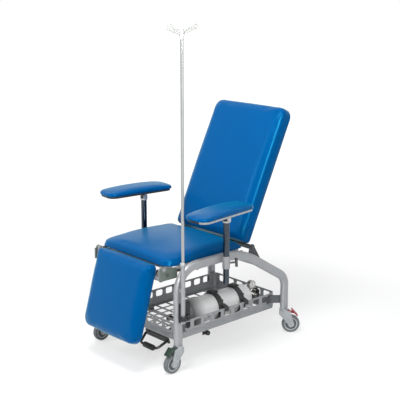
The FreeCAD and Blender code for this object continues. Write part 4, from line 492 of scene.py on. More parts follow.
clear_selection()
bpy.ops.mesh.primitive_plane_add(size=2 * FLOOR_HALF, location=(0, 0, 0))
floor = bpy.context.object
floor.name = "floor"
floor_paint, floor_shader, floor_spot = new_material("studio_floor_white")
floor_tint = two_tones(floor_paint, floor_spot, FLOOR_CLOUD, "F2F3F4", "F6F7F8")
connect(floor_paint, floor_shader, {"Base Color": floor_tint, "Roughness": 0.6})
glow = add_node(
    floor_paint,
    "ShaderNodeEmission",
    {"Color": colour("FFFFFF"), "Strength": FLOOR_BRIGHT},
)
distance = add_node(floor_paint, "ShaderNodeVectorMath", {0: floor_spot}, operation="LENGTH")
fade = remap(floor_paint, distance.outputs["Value"], FLOOR_GLOW, 1.0, SHADOW_NEAR, SHADOW_FAR)
share = combine(floor_paint, "MULTIPLY", seen_directly(floor_paint), fade)
blend = add_node(
    floor_paint,
    "ShaderNodeMixShader",
    {0: share, 1: floor_shader.outputs["BSDF"], 2: glow.outputs["Emission"]},
)
output = floor_paint.node_tree.nodes["Material Output"]
connect(floor_paint, output, {"Surface": blend.outputs["Shader"]})
floor.data.materials.append(floor_paint)
print("floor laid")

# %% [markdown]
# ## Finishes for the CAD nodes
#
# Most nodes already have the right shape, so they only take their material.

# %% Dress the frame
CORNERS = ("front_left", "front_right", "rear_left", "rear_right")
FINISHES = [
    (silver_grey, ["side_frame_left", "side_frame_right", "seat_frame", "rear_cross_tube"]),
    (silver_grey, ["arm_sockets", "legrest_frame"]),
    # The backrest frame and its hinge plates take the dark grey of painted shade
    (painted_shade_grey, ["backrest_frame", "backrest_hinge_plates"]),
    (bracket_green, ["legrest_hinge_plates"]),
    (tray_grey, ["tray"]),
    (bracket_dark, ["tray_brackets", "frame_bolts"]),
    (chrome, ["arm_left_post", "arm_right_post", "leg_spring_rod", "back_spring_rod"]),
    (drawn_steel, ["pole_rod"]),
    (zinc, ["pedal_axle", "castor_stems"]),
    (cast_alloy, ["arm_left_head", "arm_right_head"]),
    (nickel, ["valve_body"]),
    (black_nylon, ["axle_caps", "arm_left_screw", "arm_right_screw", "valve_handwheel"]),
    (pedal_black, ["pedal_frame", "pedal_lugs", "leg_spring_cylinder", "back_spring_cylinder"]),
    (hook_white, ["hook_head"]),
    (arm_shell, ["arm_left_board", "arm_right_board"]),
    (castor_nylon, ["fork_" + corner for corner in CORNERS]),
]


def paint_node(name, material):
    node = nodes[name]
    for slot in node.material_slots:
        slot.material = material
    if not node.material_slots:
        node.data.materials.append(material)


for finish, names in FINISHES:
    for name in names:
        paint_node(name, finish)
# Body, material and slot of the small fittings
BLACK_FITTING = ("chassis", black_nylon, "black_plastic")
VALVE_METAL = ("chassis", nickel, "valve_metal")
print("nodes painted:", sum(len(names) for finish, names in FINISHES))

# %% [markdown]
# ## Filling the cushions
#
# Each cushion is a foam slab under stretched vinyl. The CAD gives its outline.
# A copy is shrunk a little, rebuilt as an even grid of quads, and then blown up
# by Blender's cloth solver with its underside held to the board, until it presses
# out to full size: flat where it rests, crowned on top, tight over its corners.

# %% Cushion making
FRAMES = 16
STIFFNESS = 15.0
RELAX_TURNS = 30
# Points this share of a grid cell from the underside are held to the board
HELD_SHARE = 0.6


def plain_copy(node_name, name):
    """Copy of a CAD node's mesh with its split corners merged."""
    mesh = nodes[node_name].data.copy()
    mesh.name = name
    mesh.materials.clear()
    piece = new_object(name, mesh)
    edit_all(piece)
    bpy.ops.mesh.remove_doubles(threshold=0.05 * MM)
    bpy.ops.mesh.normals_make_consistent(inside=False)
    bpy.ops.object.mode_set(mode="OBJECT")
    return piece


def even_grid(piece, voxel):
    pick(piece)
    piece.data.remesh_voxel_size = voxel * MM
    piece.data.remesh_voxel_adaptivity = 0.0
    bpy.ops.object.voxel_remesh()


def blow_up(piece, held, pressure):
    """Cloth under pressure, with the held points pinned."""
    group = piece.vertex_groups.new(name="held")
    group.add([int(i) for i in np.flatnonzero(held)], 1.0, "REPLACE")
    pick(piece)
    bpy.ops.object.modifier_add(type="CLOTH")
    cloth = piece.modifiers[-1]
    cloth.settings.quality = 4
    cloth.settings.mass = 0.3
    cloth.settings.tension_stiffness = STIFFNESS
    cloth.settings.compression_stiffness = STIFFNESS
    cloth.settings.shear_stiffness = STIFFNESS / 3
    cloth.settings.bending_stiffness = 3.0
    cloth.settings.use_pressure = True
    cloth.settings.uniform_pressure_force = pressure
    cloth.settings.effector_weights.gravity = 0.0
    cloth.settings.vertex_group_mass = "held"
    cloth.collision_settings.use_collision = False
    cloth.point_cache.frame_start = 1
    cloth.point_cache.frame_end = FRAMES
    for step in range(1, FRAMES + 1):
        bpy.context.scene.frame_set(step)
    pick(piece)
    bpy.ops.object.modifier_apply(modifier=cloth.name)
    bpy.context.scene.frame_set(1)
    piece.vertex_groups.clear()


def round_over(piece, held, turns):
    """Softens all but the held points, so that edges start as round as wrapped foam."""
    group = piece.vertex_groups.new(name="free")
    group.add([int(i) for i in np.flatnonzero(~held)], 1.0, "REPLACE")
    pick(piece)
    smoother = piece.modifiers.new("round_over", "SMOOTH")
    smoother.factor = 0.5
    smoother.iterations = turns
    smoother.vertex_group = "free"
    bpy.ops.object.modifier_apply(modifier=smoother.name)
    piece.vertex_groups.clear()


def fit_back(piece, node_name):
    """Stretches the piece to the box of the CAD solid that it stands for."""
    low, high = [np.array(corner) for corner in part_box(node_name)]
    points = read_points(piece.data)
    share = (points - points.min(0)) / (points.max(0) - points.min(0))
    write_points(piece.data, low + share * (high - low))


def fill_cushion(node_name, under, voxel, swell, pressure=4.0, shrink=3.0, rounding=45):
    """Makes a cushion from its CAD slab. under is the direction from the cushion to its board."""
    name = node_name + "_filled"
    piece = plain_copy(node_name, name)
    even_grid(piece, voxel)
    under = np.array(Vector(under).normalized())
    points = read_points(piece.data)
    height = points @ under
    held = height > height.max() - HELD_SHARE * voxel * MM
    outward = read_points(piece.data, "normal")
    sideways = outward - np.outer(outward @ under, under)
    start = points - shrink * MM * np.where(held[:, None], sideways, outward)
    write_points(piece.data, start)
    round_over(piece, held, rounding)
    start = read_points(piece.data)
    blow_up(piece, held, pressure)
    moves = read_points(piece.data) - start
    length = np.linalg.norm(moves, axis=1, keepdims=True)
    share = np.minimum(1.0, swell * MM / np.maximum(length, 1e-9))
    write_points(piece.data, start + moves * share)
    print(name, "moved on average", round(float(length.mean()) / MM, 2), "mm")
    round_over(piece, held, RELAX_TURNS)
    fit_back(piece, node_name)
    return piece


def finish_cushion(piece, body, node_name):
    """One level of smoothing, the vinyl, and its place on the chair."""
    pick(piece)
    rounder = piece.modifiers.new("rounder", "SUBSURF")
    rounder.levels = 1
    rounder.render_levels = 1
    settle(piece, piece.name, body, vinyl, "vinyl", 180.0)
    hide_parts(node_name)
    print(piece.name, len(piece.data.polygons), "faces")


# %% Seat, back and leg cushions
BACK_LEAN = math.radians(25.4)
LEG_LEAN = math.radians(16.0)
back_behind = Vector((0.0, math.cos(BACK_LEAN), -math.sin(BACK_LEAN)))
leg_behind = Vector((0.0, math.cos(LEG_LEAN), -math.sin(LEG_LEAN)))

# Each cushion: body, direction to its board, grid cell and swell in millimetres
CUSHIONS = {
    "seat_cushion": ("chassis", (0, 0, -1), 7.0, 7.0),
    "backrest_cushion": ("backrest", back_behind, 7.0, 7.5),
    "legrest_cushion": ("legrest", leg_behind, 6.0, 6.5),
}
for node_name, (body, under, voxel, swell) in CUSHIONS.items():
    finish_cushion(fill_cushion(node_name, under, voxel, swell), body, node_name)

# %% Armrest pads
PLEATS = 9
PLEAT_DEPTH = 1.8
PLEAT_RISE = 16.0
NOSE_RADIUS = 72.0
# Half of the arc that is pleated, and the part of it where the pleats fade, in radians
NOSE_ARC = 1.45
NOSE_FADE = 0.35


def gather_nose(piece):
    """Presses pleats into the lower edge of a pad's round front end, where vinyl is gathered."""
    points = read_points(piece.data)
    low = points.min(0)
    tip = points[points[:, 1] < low[1] + 12 * MM].mean(0)
    away = points[:, :2] - (tip[:2] + np.array([0.0, NOSE_RADIUS * MM]))
    angle = np.arctan2(away[:, 0], -away[:, 1])
    ring = np.clip((NOSE_ARC - np.abs(angle)) / NOSE_FADE, 0, 1)
    rise = np.clip(1.0 - (points[:, 2] - low[2]) / (PLEAT_RISE * MM), 0, 1)
    depth = PLEAT_DEPTH * MM * (0.5 + 0.5 * np.cos(angle * 2 * PLEATS)) * ring * rise
    length = np.maximum(np.linalg.norm(away, axis=1, keepdims=True), 1e-6)
    points[:, :2] -= away / length * depth[:, None] * np.clip(length / (50 * MM), 0, 1)
    write_points(piece.data, points)


for side in ("left", "right"):
    node_name = f"arm_{side}_pad"
    pad = fill_cushion(node_name, (0, 0, -1), 4.5, 4.0, pressure=3.0, shrink=2.0, rounding=30)
    gather_nose(pad)
    finish_cushion(pad, f"arm_{side}_rest", node_name)

# %% [markdown]
# ## Wheels
#
# A hospital castor's wheel has a grey rubber tread moulded round a nylon rim.
# Each is half a profile, mirrored and spun about the axle: the tread bulges
# between its shoulders, and the rim dishes in to a hub round the axle.

# %% Spinning a profile
TURN_STEPS = 72


def spun(name, profile, steps):
    """Closed ring from (radius, along) points in millimetres, spun about the X axis."""
    mesh = bpy.data.meshes.new(name)
    points = [(along * MM, 0.0, radius * MM) for radius, along in profile]
    mesh.from_pydata(points, [(i, i + 1) for i in range(len(points) - 1)], [])
    piece = new_object(name, mesh)
    edit_all(piece)
    bpy.ops.mesh.spin(steps=steps, angle=2 * math.pi, center=(0, 0, 0), axis=(1, 0, 0))
    bpy.ops.mesh.select_all(action="SELECT")
    bpy.ops.mesh.remove_doubles(threshold=0.02 * MM)
    bpy.ops.mesh.normals_make_consistent(inside=False)
    bpy.ops.object.mode_set(mode="OBJECT")
    return piece


def turned_part(name, profile, centre, axis, body, material, slot, steps=48):
    """A turned piece: its profile runs along the axis from the centre, in millimetres."""
    piece = spun(name, profile, steps)
    place(piece, Matrix.Translation(centre) @ turned((1, 0, 0), axis))
    return settle(piece, name, body, material, slot)


def mirrored(profile):
    """A half profile from one side, continued to the other side and closed."""
    return profile + [(radius, -along) for radius, along in reversed(profile)] + profile[:1]


TREAD = mirrored(
    [(36.5, 11.5), (38.5, 12.6), (42.5, 13.6), (46.2, 13.2), (48.6, 11.0), (49.6, 7.0), (50.0, 2.5)]
)
RIM = mirrored(
    [
        (6.1, 13.6),
        (13.5, 13.6),
        (14.6, 12.6),
        (15.2, 8.6),
        (30.5, 8.2),
        (32.4, 9.0),
        (33.4, 12.4),
        (36.6, 12.4),
    ]
)

# %% Four wheels
wheel_joints = [joint for joint in frame["joints"] if joint["child"].startswith("wheel_")]
for joint in wheel_joints:
    body = joint["child"]
    corner = body.replace("wheel_", "")
    middle = (Vector(joint["pos_m"]), joint["axis"], body)
    tread = turned_part("tread_" + corner, TREAD, *middle, tyre_rubber, "castor_tyre", TURN_STEPS)
    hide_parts(body)
    rim = turned_part("rim_" + corner, RIM, *middle, rim_nylon, "castor_housing", TURN_STEPS)
    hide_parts(body)
print("wheels made:", len(wheel_joints))

# %% [markdown]
# ## Gas cylinder
#
# The oxygen cylinder in the tray is painted satin white. A soft rubber boot
# covers its foot. Its grey is painted shade and dark reflection: darkest at the
# base, fading into the barrel. The boards below the cushions are birch plywood,
# and the seat's is wrapped in black cloth.

# %% Cylinder paint and boot
ENAMEL_PEEL = 3.0
RUBBER_PITS = 0.8
# Where the boot's painted shade is darkest, and where it has faded into the barrel
BOOT_SHADE_DARKEST = -0.205
BOOT_SHADE_FADED = -0.125


def make_cylinder_paint():
    material, shader, spot = new_material("enamel_satin_white")
    tint = two_tones(material, spot, 70.0, "F0F1F1", "F5F6F6")
    connect(material, shader, {
        "Base Color": tint,
        "Roughness": rough_patches(material, spot, 35.0, 0.28, 0.36),
        "Normal": relief(material, noise(material, spot, ENAMEL_PEEL, 2.0), 0.06, 0.4),
        "IOR": 1.5,
    })
    return material


def make_boot_rubber():
    material, shader, spot = new_material("rubber_boot_fading_grey")
    split = add_node(material, "ShaderNodeSeparateXYZ", {"Vector": spot})
    along = remap(material, split.outputs["Y"], 0.0, 1.0, BOOT_SHADE_DARKEST, BOOT_SHADE_FADED)
    connect(material, shader, {
        # Dark grey at the base fading to near white: painted shade and dark reflection on the boot's
        # domed end
        "Base Color": blend_hex(material, along, "4A4D4F", "E6E7E7"),
        "Roughness": rough_patches(material, spot, 20.0, 0.45, 0.6),
        "Normal": relief(material, noise(material, spot, RUBBER_PITS, 2.0), 0.05, 0.5),
    })
    return material


paint_node("gas_cylinder", make_cylinder_paint())
paint_node("cylinder_boot", make_boot_rubber())
print("cylinder painted")

# %% Plywood


def make_plywood():
    material, shader, spot = new_material("birch_plywood")
    stretched = add_node(material, "ShaderNodeMapping", {"Vector": spot, "Scale": (1.0, 0.08, 0.08)})
    grain = add_node(
        material,
        "ShaderNodeTexNoise",
        {"Vector": stretched.outputs["Vector"], "Scale": 160.0, "Detail": 6.0, "Distortion": 0.4},
    )
    connect(material, shader, {
        "Base Color": blend_hex(material, grain.outputs["Fac"], "B08A5C", "CDAE80", 0.3, 0.7),
        "Roughness": 0.62,
        "Normal": relief(material, grain.outputs["Fac"], 0.05, 0.5),
    })
    return material


plywood = make_plywood()
for name in ("backrest_board", "legrest_board"):
    paint_node(name, plywood)
paint_node("seat_board", dust_cloth)
print("boards finished")

# %% [markdown]
# ## Castor guards and nuts
#
# A dark guard on each side of a wheel keeps threads from its hub, and a nut closes
# each end of the axle outside the fork.

# %% Castor guards and nuts
GUARD = mirrored([(14.8, 9.6), (16.4, 11.2), (29.0, 10.2), (30.6, 8.8)])
NUT_OUT = 19.5
NUT_ACROSS = 13.0
NUT_THICK = 6.0


def hexagon(name, across, thick, axis, centre):
    """Nut from the width over its flats and its thickness, in millimetres."""
    clear_selection()
    radius = across / math.sqrt(3) * MM
    bpy.ops.mesh.primitive_cylinder_add(vertices=6, radius=radius, depth=thick * MM)
    piece = bpy.context.object
    piece.name = name
    soften(piece, 0.09 * thick * MM, 2)
    place(piece, Matrix.Translation(centre) @ turned((0, 0, 1), axis))
    return piece


for joint in wheel_joints:
    body = joint["child"]
    corner = body.replace("wheel_", "")
    centre = Vector(joint["pos_m"])
    axle = Vector(joint["axis"])
    name = "thread_guard_" + corner
    turned_part(name, GUARD, centre, axle, body, guard_grey, "castor_tyre", TURN_STEPS)
    for end in (-1, 1):
        fork_side = centre + axle * end * NUT_OUT * MM
        nut = hexagon(f"axle_nut_{corner}_{end + 1}", NUT_ACROSS, NUT_THICK, axle, fork_side)
        settle(nut, nut.name, "castor_" + corner, zinc, "zinc_steel")
print("castors dressed")

# %% [markdown]
# ## Straps round the cylinder
#
# Two polyester webbing straps hold the cylinder down. Real webbing is a thick
# double weave whose ribs run across it. Each strap is a soft-edged ring round the
# cylinder, and a map that follows it carries the weave.

# %% Webbing
RIB = 2.4


def threads(material, along, direction, density, distortion, detail):
    """Waves across one direction of the strap's map."""
    scale = per_mm(RIB) / (2 * math.pi) * density
    return add_node(
        material,
        "ShaderNodeTexWave",
        {"Vector": along, "Scale": scale, "Distortion": distortion, "Detail": detail},
        wave_type="BANDS",
        bands_direction=direction,
    ).outputs["Fac"]


def make_webbing():
    material, shader, _ = new_material("polyester_webbing_black")
    along = add_node(material, "ShaderNodeUVMap", uv_map="along").outputs["UV"]
    ribs = threads(material, along, "X", 1.0, 0.6, 1.0)
    cords = threads(material, along, "Y", 1.3, 0.3, 2.0)
    weave = combine(material, "MULTIPLY", ribs, cords)
    connect(material, shader, {
        "Base Color": blend_hex(material, weave, "0E0F11", "26282B"),
        "Roughness": 0.72,
        "Normal": relief(material, weave, 0.5, 0.9),
        "Sheen Weight": 0.06,
        "Sheen Roughness": 0.4,
    })
    return material


webbing = make_webbing()


def map_along(piece, centre, radius):
    """Map in metres: along the strap round the Y axis, and across it."""
    layer = piece.data.uv_layers.new(name="along")
    for loop in piece.data.loops:
        point = piece.data.vertices[loop.vertex_index].co
        turn = math.atan2(point.x - centre.x, point.z - centre.z)
        layer.data[loop.index].uv = (turn * radius * MM, point.y)


# %% Straps
valve_turn = joint_place("valve_turn")
CYLINDER = Vector((valve_turn.x, 0.0, valve_turn.z))
STRAP_PLACES = (-10.0, 145.0)
STRAP_MIDDLE = 74.0
STRAP_RING = [(70.4, -17.2), (72.2, -18.4), (74.4, -17.4), (74.9, -9.0), (74.4, 0.0)]
STRAP_RING += [(74.9, 9.0), (74.4, 17.4), (72.2, 18.4), (70.4, 17.2), (70.4, -17.2)]
for number, place_y in enumerate(STRAP_PLACES):
    middle = CYLINDER + Vector((0, place_y * MM, 0))
    strap = spun(f"webbing_strap_{number}", STRAP_RING, 96)
    place(strap, Matrix.Translation(middle) @ turned((1, 0, 0), (0, 1, 0)))
    map_along(strap, middle, STRAP_MIDDLE)
    settle(strap, strap.name, "chassis", webbing, "strap_web", 50.0)
    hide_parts("cylinder_straps")
print("straps wrapped")

# %% [markdown]
# ## Cam buckles
#
# Each strap closes in a moulded cam buckle: a frame with a raised rim, and a
# ribbed lever that snaps down onto the webbing.

# %% Buckles
BUCKLE = (46.0, 43.0, 10.0)
BUCKLE_OUT = 79.8
LEVER = (30.0, 31.0, 7.0)
# Pitch and height of the lever's ridges, and how fast its top falls to the sides
RIDGE_PITCH = 7.5
RIDGE_HIGH = 0.8
LEVER_FALL = 0.06


def cube_at(name, centre, size):
    clear_selection()
    bpy.ops.mesh.primitive_cube_add(size=1.0, location=centre)
    piece = bpy.context.object
    piece.scale = [v * MM for v in size]
    pick(piece)
    bpy.ops.object.transform_apply(location=True, rotation=True, scale=True)
    piece.name = name
    return piece


for number, place_y in enumerate(STRAP_PLACES):
    top = CYLINDER + Vector((0, place_y * MM, BUCKLE_OUT * MM))
    buckle = cube_at(f"cam_buckle_{number}", top, BUCKLE)
    select_faces(buckle, lambda centre, normal: normal.z > 0.9)
    bpy.ops.mesh.inset(thickness=4.5 * MM, depth=0.0)
    bpy.ops.mesh.extrude_region_move(TRANSFORM_OT_translate={"value": (0, 0, -4.0 * MM)})
    bpy.ops.object.mode_set(mode="OBJECT")
    soften(buckle, 1.6 * MM, 3)
    settle(buckle, buckle.name, *BLACK_FITTING)
    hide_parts("strap_buckles")
    lever = cube_at(f"cam_lever_{number}", top + Vector((3.0 * MM, 0, 3.5 * MM)), LEVER)
    edit_all(lever)
    bpy.ops.mesh.subdivide(number_cuts=7)
    bpy.ops.object.mode_set(mode="OBJECT")
    for point in lever.data.vertices:
        if point.co.z > top.z + 6.0 * MM:
            ridge = math.cos((point.co.x - top.x) / (RIDGE_PITCH * MM) * 2 * math.pi)
            point.co.z += RIDGE_HIGH * MM * ridge - abs(point.co.y - top.y) * LEVER_FALL
    soften(lever, 0.9 * MM, 2)
    settle(lever, lever.name, *BLACK_FITTING)
print("buckles closed")

# %% [markdown]
# ## Valve, gauge and outlet
#
# The cylinder valve carries a contents gauge with a white dial, a black flow knob
# and a barbed hose outlet. The metal ones are turned brass, nickel plated, and each
# is one profile spun about its own axis.

# %% Gauge
VALVE = CYLINDER + Vector((0.0, 0.285, 0.0))
GAUGE = VALVE + Vector((0.0, 0.0, 0.052))
RIGHT = (1, 0, 0)
GAUGE_STEPS = 64
BEZEL = [(23.0, 8.0), (24.6, 8.4), (25.0, 9.6), (24.6, 11.6), (23.4, 12.4), (21.8, 11.8)]
BEZEL += [(21.4, 10.2), (23.0, 8.0)]
GAUGE_BACK = [(0, -12.0), (15.0, -12.0), (20.0, -11.0), (23.5, -9.6), (23.5, -9.0), (0, -9.0)]
turned_part("gauge_bezel", BEZEL, GAUGE, RIGHT, *VALVE_METAL, GAUGE_STEPS)
turned_part("gauge_back", GAUGE_BACK, GAUGE, RIGHT, *VALVE_METAL, GAUGE_STEPS)

TICKS = 24
TICK_HALF = 0.09
TICK_START = 18.0


def make_dial():
    """Enamelled dial: white, with black ticks drawn from the angle and the radius."""
    material, shader, spot = new_material("enamelled_dial_white")
    centred = add_node(
        material,
        "ShaderNodeVectorMath",
        {0: spot, 1: tuple(GAUGE)},
        operation="SUBTRACT",
    ).outputs["Vector"]
    split = add_node(material, "ShaderNodeSeparateXYZ", {"Vector": centred})
    turn = combine(material, "ARCTAN2", split.outputs["Y"], split.outputs["Z"])
    radius = add_node(material, "ShaderNodeVectorMath", {0: centred}, operation="LENGTH")
    steps = combine(material, "MULTIPLY", turn, TICKS / (2 * math.pi))
    saw = combine(material, "PINGPONG", steps, 0.5)
    mark = combine(material, "LESS_THAN", saw, TICK_HALF)
    outer = combine(material, "GREATER_THAN", radius.outputs["Value"], TICK_START * MM)
    ticks = combine(material, "MULTIPLY", mark, outer)
    tint = blend_hex(material, ticks, "F2F2EE", "202124")
    connect(material, shader, {"Base Color": tint, "Roughness": 0.35})
    return material


DIAL = [(0.0, 9.4), (22.2, 9.4), (22.2, 10.4), (0.0, 10.4)]
dial_finish = ("chassis", make_dial(), "valve_metal")
turned_part("gauge_dial", DIAL, GAUGE, RIGHT, *dial_finish, GAUGE_STEPS)
NEEDLE = (0.8, 1.6, 20.0)
needle = cube_at("gauge_needle", GAUGE + Vector((0.0112, 0.003, 0.004)), NEEDLE)
select_faces(needle, lambda centre, normal: normal.z > 0.9)
bpy.ops.transform.resize(value=(1.0, 0.25, 1.0))
bpy.ops.object.mode_set(mode="OBJECT")
needle_turn = Matrix.Rotation(math.radians(40), 4, "X")
place(needle, Matrix.Translation(GAUGE) @ needle_turn @ Matrix.Translation(-GAUGE))
settle(needle, "gauge_needle", *BLACK_FITTING)
print("gauge fitted")

# %% Outlet barb, union nut and flow knob
BARB = [(0, 18.0), (11.0, 18.0), (11.0, 26.0), (9.4, 27.0), (9.4, 30.0)]
for step in range(4):
    BARB += [(9.6 - 0.5 * step, 31.0 + 5.0 * step), (7.2 - 0.5 * step, 35.4 + 5.0 * step)]
BARB += [(4.0, 52.0), (0, 52.0)]
turned_part("hose_outlet_barb", BARB, VALVE, RIGHT, *VALVE_METAL)
union = hexagon("union_nut", 34.0, 12.0, (0, 1, 0), CYLINDER + Vector((0.0, 0.2555, 0.0)))
settle(union, "union_nut", *VALVE_METAL)
KNOB = [(0, 18.0), (8.0, 18.0), (8.0, 23.0), (13.0, 24.0), (14.5, 26.0), (14.5, 38.0)]
KNOB += [(12.5, 40.5), (0, 41.0)]
turned_part("flow_knob", KNOB, VALVE, (-1, 0, 0), "chassis", black_nylon, "knob_plastic")
CAP = [(0, 0), (6.0, 0), (6.0, 9.0), (10.5, 9.6), (11.0, 12.0), (9.0, 14.0), (0, 14.4)]
cap_place = VALVE + Vector((0, 0.012, 0.019))
turned_part("relief_cap", CAP, cap_place, (0, 0.35, 1), *VALVE_METAL)
print("valve fittings turned")

# %% [markdown]
# ## Edges of the boards
#
# A pale edge band runs round the seat under its cushion. The rear faces of the
# back and leg boards are hidden under black spun-bonded cloth, and the vinyl is
# returned round their edges. Each is made from a copy of its board: the faces
# that would be covered are kept, and given a thickness of their own.

# %% Skins made from boards


def skin(node_name, name, keep, thick):
    """Shell of a thickness in millimetres over those faces of a CAD node that pass the test."""
    piece = plain_copy(node_name, name)
    select_faces(piece, lambda centre, normal: not keep(centre, normal))
    bpy.ops.mesh.delete(type="FACE")
    bpy.ops.mesh.select_all(action="SELECT")
    bpy.ops.mesh.dissolve_limited(angle_limit=math.radians(1.0))
    bpy.ops.object.mode_set(mode="OBJECT")
    shell = piece.modifiers.new("wall", "SOLIDIFY")
    shell.thickness = thick * MM
    shell.offset = 1.0
    shell.use_even_offset = True
    pick(piece)
    bpy.ops.object.modifier_apply(modifier=shell.name)
    return piece


def beside_seat(centre, normal):
    """Front and sides of the seat's board, but not its straight rear edge."""
    return abs(normal.z) < 0.3 and -0.97 < normal.y < 0.5


BAND_THICK = 6.5
BAND_DROP = 13.5
seat_band = skin("seat_board", "seat_edge_band", beside_seat, BAND_THICK)
place(seat_band, Matrix.Translation((0, 0, -BAND_DROP * MM)))
soften(seat_band, 1.2 * MM, 2)
settle(seat_band, "seat_edge_band", "chassis", edge_band, "frame_paint")
print("seat edged")

# %% Dust covers
BEHIND = {"backrest": back_behind, "legrest": leg_behind}
COVER_THICK = 0.8
for body, behind in BEHIND.items():
    name = body + "_dust_cover"
    cover = skin(body + "_board", name, lambda _, normal: normal.dot(behind) > 0.5, COVER_THICK)
    settle(cover, name, body, dust_cloth, "vinyl")
print("boards covered")

# %% Vinyl returned round the boards
HEM_THICK = 0.9
for body, behind in BEHIND.items():
    name = body + "_vinyl_hem"
    hem = skin(body + "_board", name, lambda _, normal: abs(normal.dot(behind)) < 0.5, HEM_THICK)
    settle(hem, name, body, vinyl, "vinyl")
print("hems laid round the boards")

# %% Armrest strips
STRIP_THICK = 2.5
STRIP_FOOT = 0.774
for side, outer in (("left", 1.0), ("right", -1.0)):
    name = f"arm_{side}_edge_strip"
    strip = skin(
        f"arm_{side}_board",
        name,
        lambda centre, normal: normal.x * outer > 0.25 and centre.z > STRIP_FOOT,
        STRIP_THICK,
    )
    soften(strip, 0.8 * MM, 2)
    settle(strip, name, f"arm_{side}_rest", anodised, "cast_alloy")
print("armrests edged")

# %% [markdown]
# ## Strap ends
#
# Each strap's free end is laid back over the near side of the cylinder, and a
# short loop ties the strap to the tray: it runs from the cylinder over the rail
# of the tray's wall and back in through the window below it.

# %% Free ends and rail loops


def strip_along(name, route, width, thickness):
    """Soft-edged band along (x, z) points in millimetres, with its width along Y."""
    clear_selection()
    curve = bpy.data.curves.new(name, "CURVE")
    curve.dimensions = "2D"
    curve.fill_mode = "NONE"
    line = curve.splines.new("NURBS")
    line.points.add(len(route) - 1)
    for point, (x, z) in zip(line.points, route):
        point.co = (x * MM, z * MM, 0.0, 1.0)
    line.order_u = 3
    line.use_endpoint_u = True
    line.resolution_u = 8
    curve.extrude = (width - thickness) / 2 * MM
    curve.bevel_depth = thickness / 2 * MM
    curve.bevel_resolution = 2
    pick(new_object(name, curve))
    bpy.ops.object.convert(target="MESH")
    piece = bpy.context.object
    edit_all(piece)
    bpy.ops.mesh.remove_doubles(threshold=0.01 * MM)
    bpy.ops.mesh.fill_holes(sides=0)
    bpy.ops.mesh.normals_make_consistent(inside=False)
    bpy.ops.object.mode_set(mode="OBJECT")
    return piece


def on_ring(radius, degrees):
    """Point at a radius round the cylinder, from straight up towards +X."""
    turn = math.radians(degrees)
    return (CYLINDER.x / MM + radius * math.sin(turn), CYLINDER.z / MM + radius * math.cos(turn))


STAND_UP = Matrix(((1, 0, 0, 0), (0, 0, 1, 0), (0, 1, 0, 0), (0, 0, 0, 1)))
ENDS_MIDDLE = 76.0
FREE_END = (32.0, 2.6)
FREE_ROUTE = [on_ring(ENDS_MIDDLE, angle) for angle in range(18, 100, 12)]
FREE_ROUTE += [on_ring(80.0, 104), on_ring(88.0, 108)]
RAIL_LOOP = (28.0, 2.4)
LOOP_PLACES = (-1.5, 146.0)
LOOP_ROUTE = [on_ring(76.5, 70), (226, 234.5), (236, 232), (241, 230.8), (246, 228), (246, 214)]
LOOP_ROUTE += [(241, 206), (234, 210), (228, 222), on_ring(77.0, 80)]
KEEPER = (9.0, 38.0, 8.0)
KEEPER_OUT = 77.5
KEEPER_TURN = 56


def lay_webbing(name, route, section, place_y):
    """A length of webbing beside the strap at a place along the cylinder."""
    piece = strip_along(name, route, *section)
    place(piece, Matrix.Translation((0, place_y * MM, 0)) @ STAND_UP)
    map_along(piece, CYLINDER, ENDS_MIDDLE)
    settle(piece, name, "chassis", webbing, "strap_web", 50.0)


for number, place_y in enumerate(STRAP_PLACES):
    lay_webbing(f"strap_free_end_{number}", FREE_ROUTE, FREE_END, place_y)
    keeper_x, keeper_z = on_ring(KEEPER_OUT, KEEPER_TURN)
    keeper = cube_at(f"strap_keeper_{number}", (0, 0, 0), KEEPER)
    soften(keeper, 2.4 * MM, 3)
    lean = Matrix.Rotation(math.radians(KEEPER_TURN), 4, "Y")
    place(keeper, Matrix.Translation((keeper_x * MM, place_y * MM, keeper_z * MM)) @ lean)
    settle(keeper, keeper.name, *BLACK_FITTING)
    lay_webbing(f"strap_rail_loop_{number}", LOOP_ROUTE, RAIL_LOOP, LOOP_PLACES[number])
print("strap ends laid")

# %% [markdown]
# ## Swaged ribs of the tray
#
# A tray of thin sheet is stiffened by ribs rolled into its walls below the
# windows. Each rib is a thin half-round bead all the way round, so each is one
# closed line with rounded corners, given a round section and sunk into the wall.

# %% Ribs
tray_low, tray_high = [Vector(corner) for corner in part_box("tray")]
TRAY_CORNER = 24.0
RIB_HEIGHTS = (146.0, 156.0, 166.0)
RIB_RADIUS = 2.2
for number, height in enumerate(RIB_HEIGHTS):
    clear_selection()
    middle = (tray_low + tray_high) / 2
    bpy.ops.mesh.primitive_plane_add(size=1.0, location=(middle.x, middle.y, height * MM))
    rib = bpy.context.object
    rib.scale = (tray_high.x - tray_low.x, tray_high.y - tray_low.y, 1.0)
    pick(rib)
    bpy.ops.object.transform_apply(location=True, rotation=True, scale=True)
    edit_all(rib)
    bpy.ops.mesh.bevel(offset=TRAY_CORNER * MM, segments=8, affect="VERTICES")
    bpy.ops.mesh.select_all(action="SELECT")
    bpy.ops.mesh.delete(type="ONLY_FACE")
    bpy.ops.object.mode_set(mode="OBJECT")
    bpy.ops.object.convert(target="CURVE")
    rib = bpy.context.object
    rib.data.bevel_depth = RIB_RADIUS * MM
    rib.data.bevel_resolution = 3
    rib.data.use_fill_caps = False
    bpy.ops.object.convert(target="MESH")
    rib = bpy.context.object
    settle(rib, f"tray_rib_{number}", "chassis", tray_grey, "wire_grey", 60.0)
print("tray ribs rolled:", len(RIB_HEIGHTS))

# %% [markdown]
# ## Brake pedals
#
# The castor pedals are moulded nylon paddles with generous radii. A fine, even
# grid over the CAD's paddle, relaxed a few times, gives the round moulded form.

